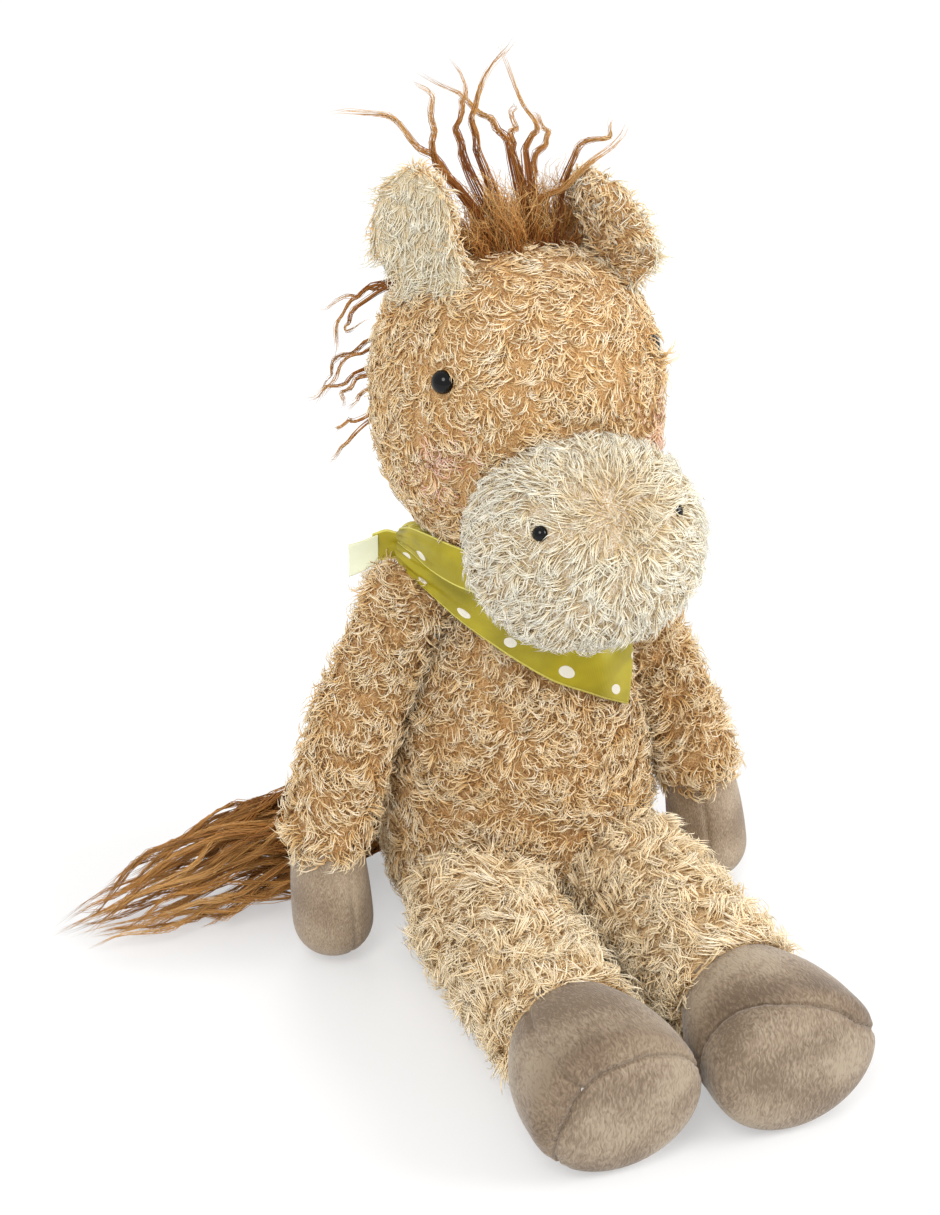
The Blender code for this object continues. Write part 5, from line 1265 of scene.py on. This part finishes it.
def sheet_piece(name, grid):
    """Closed thin sheet: the grid moved half its thickness each way, with its front and back apart on the map."""
    rows, columns = grid.shape[:2]
    normal = unit(np.cross(np.gradient(grid, axis=0), np.gradient(grid, axis=1)))
    points = np.concatenate([
        (grid + normal * SATIN_THICKNESS / 2).reshape(-1, 3), (grid - normal * SATIN_THICKNESS / 2).reshape(-1, 3)])
    index = np.arange(rows * columns).reshape(rows, columns)
    steps = np.linalg.norm(np.diff(grid[:, columns // 2], axis=0), axis=1)
    way = np.concatenate([[0], np.cumsum(steps)]) / steps.sum()
    s, w = np.meshgrid(way, np.linspace(0, 1, columns), indexing="ij")
    front_uv = np.stack([s, SIDE_SHARE * w], axis=-1)
    back_uv = np.stack([s, 1 - SIDE_SHARE + SIDE_SHARE * w], axis=-1)

    def faces(grid_, flip):
        cells = np.stack([grid_[:-1, :-1], grid_[1:, :-1], grid_[1:, 1:], grid_[:-1, 1:]], axis=2)
        cells = cells.reshape(-1, 4, *grid_.shape[2:])
        return cells[:, ::-1] if flip else cells

    quads = [faces(index, False), faces(index + rows * columns, True)]
    uvs = [faces(front_uv, False), faces(back_uv, True)]
    rim = np.concatenate([index[:, 0], index[-1, 1:], index[-2::-1, -1], index[0, -2:0:-1]])
    after = np.roll(rim, -1)
    flat = front_uv.reshape(-1, 2)
    quads.append(np.stack([rim, rim + rows * columns, after + rows * columns, after], axis=-1))
    inner = np.array([0.0, 0.004])
    uvs.append(np.stack([flat[rim], flat[rim] + inner, flat[after] + inner, flat[after]], axis=1))
    none = np.zeros((0, 3), int)
    return add_mesh(name, points, np.concatenate(quads), none, np.concatenate(uvs), np.zeros((0, 3, 2)))


def satin_material(name, finishes, long_mm, wide_mm, first_dot=(8.5, 6.0), dotted=True, both_sides=True):
    """Printed satin: dots 5 mm across in staggered rows, soft sheen, a lighter woven edge and a pale reverse."""
    made, tree, shader = new_material(name, Roughness=0.42, Sheen_Weight=0.08, Sheen_Roughness=0.3,
                                      Specular_IOR_Level=0.35)
    chart = add_node(tree, "ShaderNodeUVMap", uv_map="OFBake")
    split = add_node(tree, "ShaderNodeSeparateXYZ", {0: chart.outputs["UV"]})
    long_period, wide_period = DOT_PERIOD
    scale = (-long_mm / long_period, wide_mm / SIDE_SHARE / wide_period, 0.0)
    start = ((long_mm - first_dot[0]) / long_period + 0.5, 0.5 - first_dot[1] / wide_period, 0.0)
    cells = add_node(tree, "ShaderNodeMapping", {"Vector": chart.outputs["UV"], "Scale": scale, "Location": start})
    away = []
    for shift in (0.0, 0.5):
        moved = add_node(tree, "ShaderNodeVectorMath", {0: cells.outputs[0], 1: (shift, shift, 0)}, operation="ADD")
        part = add_node(tree, "ShaderNodeVectorMath", {0: moved.outputs[0]}, operation="FRACTION")
        centred = add_node(tree, "ShaderNodeVectorMath", {0: part.outputs[0], 1: (0.5, 0.5, 0)}, operation="SUBTRACT")
        sized = add_node(tree, "ShaderNodeVectorMath", {0: centred.outputs[0], 1: (*DOT_PERIOD, 0)},
                         operation="MULTIPLY")
        away.append(add_node(tree, "ShaderNodeVectorMath", {0: sized.outputs[0]}, operation="LENGTH").outputs["Value"])
    nearer = add_node(tree, "ShaderNodeMath", {0: away[0], 1: away[1]}, operation="MINIMUM")
    dot = add_node(tree, "ShaderNodeMath", {0: nearer.outputs[0], 1: DOT_RADIUS if dotted else 0.0},
                   operation="LESS_THAN")
    rim = EDGE_WIDTH * SIDE_SHARE / wide_mm
    low = add_node(tree, "ShaderNodeMath", {0: split.outputs["Y"], 1: rim}, operation="LESS_THAN")
    high = add_node(tree, "ShaderNodeMath", {0: split.outputs["Y"], 1: SIDE_SHARE - rim}, operation="GREATER_THAN")
    edge = add_node(tree, "ShaderNodeMath", {0: low.outputs[0], 1: high.outputs[0]}, operation="ADD")
    reverse = add_node(tree, "ShaderNodeMath", {0: split.outputs["Y"], 1: 0.5 if both_sides else 2.0},
                       operation="GREATER_THAN")
    place = add_node(tree, "ShaderNodeTexCoord")
    cloud = add_node(tree, "ShaderNodeTexNoise", {"Vector": place.outputs["Object"], "Scale": 70.0, "Detail": 2.0})
    base = add_node(tree, "ShaderNodeValToRGB", {0: cloud.outputs["Fac"]}, stops=(
        (0.35, tuple(0.8 * c for c in finishes.ribbon)), (0.65, tuple(1.12 * c for c in finishes.ribbon))))
    picked = base.outputs["Color"]
    for mask, tint in ((edge, finishes.ribbon_edge), (dot, finishes.dot), (reverse, finishes.ribbon_back)):
        picked = add_node(tree, "ShaderNodeMix", {0: mask.outputs[0], 6: picked, 7: (*tint, 1.0)},
                          data_type="RGBA").outputs[2]
    rib = add_node(tree, "ShaderNodeMath", {0: split.outputs["X"], 1: long_mm * math.tau / 0.7},
                   operation="MULTIPLY")
    wale = add_node(tree, "ShaderNodeMath", {0: rib.outputs[0]}, operation="SINE")
    dress(tree, shader, picked, wale.outputs[0], 0.15, 0.1)
    return made


class PLUSH_OT_ribbon(bpy.types.Operator):
    """Dotted satin ribbon with its band, knot and tails"""
    bl_idname = "plush.ribbon"
    bl_label = "Ribbon"

    def execute(self, context):
        form, _, finishes, _ = settings()
        satin = satin_material("dotted satin", finishes, 112.0, 37.0)
        self.cloth("ribbon_front_tail_satin", front_tail(), satin, (0.037, 0.112), "hung", "ribbon_front_tail")
        collar = strip(COLLAR_TABLE, (-6, -4, -14), rows=70, folds=0.5 * MM, swell=0.9 * MM)
        self.cloth("ribbon_collar_satin", collar, satin_material("dotted satin collar", finishes, 62.0, 20.0, (19, 5)),
                   (0.0145, 0.062), "gathered")
        back = strip(BACK_TAIL_TABLE, (0, 0, 0), rows=30, folds=0.6 * MM, fold_count=2, swell=0.8 * MM, hang=1.0)
        plain = satin_material("satin, short end", finishes, 24.0, 12.0, dotted=False)
        self.cloth("ribbon_back_tail_satin", back[::-1], plain, (0.0125, 0.013), "hung", "ribbon_back_tail")
        corner = strip(CORNER_TABLE, (0, 0, 0), rows=30, swell=0.6 * MM, hang=1.0)
        self.cloth("ribbon_corner_satin", corner, plain, (0.013, 0.0125), "folded")
        angle = np.linspace(math.radians(176), math.radians(176 + 360), 120)[:, None]
        across = np.linspace(0, 1, 20)[None]
        behind = np.maximum(np.sin(angle), 0) ** 2
        level = form.neck_height + (5.5 * np.cos(2 * angle) + 7.0 * behind + 0.5 + 11 * across) * MM
        radius = np.sqrt(np.maximum(form.neck_radius ** 2 - np.maximum(level - form.neck_height, 0) ** 2, 1e-6))
        radius = radius + 2.4 * MM + 0.5 * MM * np.cos(math.tau * 3 * across + 2 * angle)
        band = np.stack([radius * np.cos(angle), form.neck_setback + radius * np.sin(angle), level], axis=-1)
        self.cloth("ribbon_band_satin", band, satin_material("gathered satin", finishes, 176.0, 9.0, dotted=False),
                   (0.013, 0.182), "gathered", "ribbon_band")
        centre = np.array((-36.5, 6.0, 158.5)) * MM
        knot = oval(centre, (6.0 * MM, 6.5 * MM, 5.0 * MM), 2.2, 40, 96)
        out = unit(knot - centre)
        pleat = np.sin(9 * np.arctan2(out[..., 2], out[..., 1]) + 2 * out[..., 0])
        knot = knot + out * (0.45 * MM * pleat * (1 - out[..., 0] ** 2))[..., None]
        satin = satin_material("knotted satin", finishes, 60.0, 14.0, dotted=False, both_sides=False)
        place_piece(shell("ribbon_knot_satin", knot), satin, "torso", "ribbon_knot")
        return {"FINISHED"}

    def cloth(self, name, grid, satin, flat, held, node=None):
        """One thin strip of ribbon; the flat size given to it is not used."""
        made = place_piece(sheet_piece(name, grid), satin, "torso", node)


class PLUSH_OT_fillings(bpy.types.Operator):
    """Finishes of the pieces inside the cloth"""
    bl_idname = "plush.fillings"
    bl_label = "Fillings"

    def execute(self, context):
        finishes = settings()[2]
        kinds = {
            "stuffing": plain_material("polyester fibre filling", linear("F2F0EA"), 1.0, 1.5, 0.8),
            "pellet": plain_material("bag of round pellets", linear("D9D6CE"), 0.6, 2.5, 1.0),
            "washer": plain_material("moulded nylon washer", linear("E8E8E4"), 0.45, 0.8, 0.1),
            "stitching": plain_material("twisted thread", finishes.tan_deep, 0.8, 0.4, 0.6),
        }
        bpy.data.objects["left_arm_filling"].data.materials.append(kinds["stuffing"])
        for name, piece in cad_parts.items():
            for word, finish in kinds.items():
                if word in name:
                    piece.data.materials.clear()
                    piece.data.materials.append(finish)
        return {"FINISHED"}


class PLUSH_OT_stage(bpy.types.Operator):
    """Pale floor, studio lights and camera"""
    bl_idname = "plush.stage"
    bl_label = "Stage"

    def execute(self, context):
        studio = settings()[3]
        scene = context.scene
        points = np.array([(-6, -6, 0), (6, -6, 0), (6, 6, 0), (-6, 6, 0)], dtype=float)
        floor = add_mesh("floor", points, np.array([[0, 1, 2, 3]]), np.zeros((0, 3), int),
                         np.array([[[0, 0], [1, 0], [1, 1], [0, 1]]], dtype=float), np.zeros((0, 3, 2)))
        paper, tree, shader = new_material("white paper sweep", Base_Color=(0.86, 0.86, 0.86, 1.0), Roughness=0.9)
        rays = add_node(tree, "ShaderNodeLightPath")
        seen = add_node(tree, "ShaderNodeMath", {0: rays.outputs["Is Camera Ray"], 1: rays.outputs["Is Glossy Ray"]},
                        operation="MAXIMUM")
        part = add_node(tree, "ShaderNodeMath", {0: seen.outputs[0], 1: 0.45}, operation="MULTIPLY")
        white = add_node(tree, "ShaderNodeEmission", {"Color": (1, 1, 1, 1), "Strength": 1.0})
        mixed = add_node(tree, "ShaderNodeMixShader", {0: part.outputs[0], 1: shader.outputs[0],
                                                       2: white.outputs[0]})
        tree.links.new(mixed.outputs[0], tree.nodes["Material Output"].inputs["Surface"])
        floor.data.materials.append(paper)
        world = bpy.data.worlds.new("studio")
        scene.world = world
        world.use_nodes = True
        world.node_tree.nodes["Background"].inputs["Color"].default_value = (1, 1, 1, 1)
        world.node_tree.nodes["Background"].inputs["Strength"].default_value = studio.ambient
        target = Vector((-0.018, 0.0, 0.130))
        for name, place, size, power in (("key", (-0.8, -1.1, 1.5), 0.9, studio.key),
                                         ("fill", (1.4, -0.9, 1.0), 1.0, studio.fill),
                                         ("back", (0.3, 1.3, 1.4), 1.0, studio.back)):
            lamp = bpy.data.lights.new(name, "AREA")
            lamp.shape = "DISK"
            lamp.size = size
            lamp.energy = power
            holder = bpy.data.objects.new(name, lamp)
            scene.collection.objects.link(holder)
            holder.location = place
            holder.rotation_euler = (target - holder.location).to_track_quat("-Z", "Y").to_euler()
        lens = bpy.data.cameras.new("camera")
        lens.lens = studio.lens
        lens.sensor_width = 36.0
        camera = bpy.data.objects.new("camera", lens)
        scene.collection.objects.link(camera)
        flat = math.cos(studio.elevation)
        back = Vector((-math.sin(studio.azimuth) * flat, -math.cos(studio.azimuth) * flat, math.sin(studio.elevation)))
        camera.location = target + back * studio.distance
        camera.rotation_euler = back.to_track_quat("Z", "Y").to_euler()
        scene.camera = camera
        scene.view_settings.view_transform = "Standard"
        return {"FINISHED"}


class PLUSH_PT_panel(bpy.types.Panel):
    """Lists the steps that make the horse"""
    bl_label = "Plush horse"
    bl_idname = "PLUSH_PT_panel"
    bl_space_type = "VIEW_3D"
    bl_region_type = "UI"
    bl_category = "Plush horse"

    def draw(self, context):
        for operator in OPERATORS:
            self.layout.operator(operator.bl_idname)


GROUPS = ((HorseForm, "horse_form"), (PileForm, "horse_pile"), (Finishes, "horse_finishes"), (Studio, "horse_studio"))
OPERATORS = (
    PLUSH_OT_stage, PLUSH_OT_body, PLUSH_OT_head, PLUSH_OT_muzzle, PLUSH_OT_ears, PLUSH_OT_arms, PLUSH_OT_legs,
    PLUSH_OT_beads, PLUSH_OT_hair, PLUSH_OT_ribbon, PLUSH_OT_fillings)


def register():
    for group, name in GROUPS:
        bpy.utils.register_class(group)
        setattr(bpy.types.Scene, name, PointerProperty(type=group))
    for operator in OPERATORS:
        bpy.utils.register_class(operator)
    bpy.utils.register_class(PLUSH_PT_panel)


def unregister():
    bpy.utils.unregister_class(PLUSH_PT_panel)
    for operator in reversed(OPERATORS):
        bpy.utils.unregister_class(operator)
    for group, name in reversed(GROUPS):
        delattr(bpy.types.Scene, name)
        bpy.utils.unregister_class(group)


def main():
    register()
    for step in ("stage", "body", "head", "muzzle", "ears", "arms", "legs", "beads", "hair", "ribbon", "fillings"):
        getattr(bpy.ops.plush, step)()


if __name__ == "__main__":
    main()
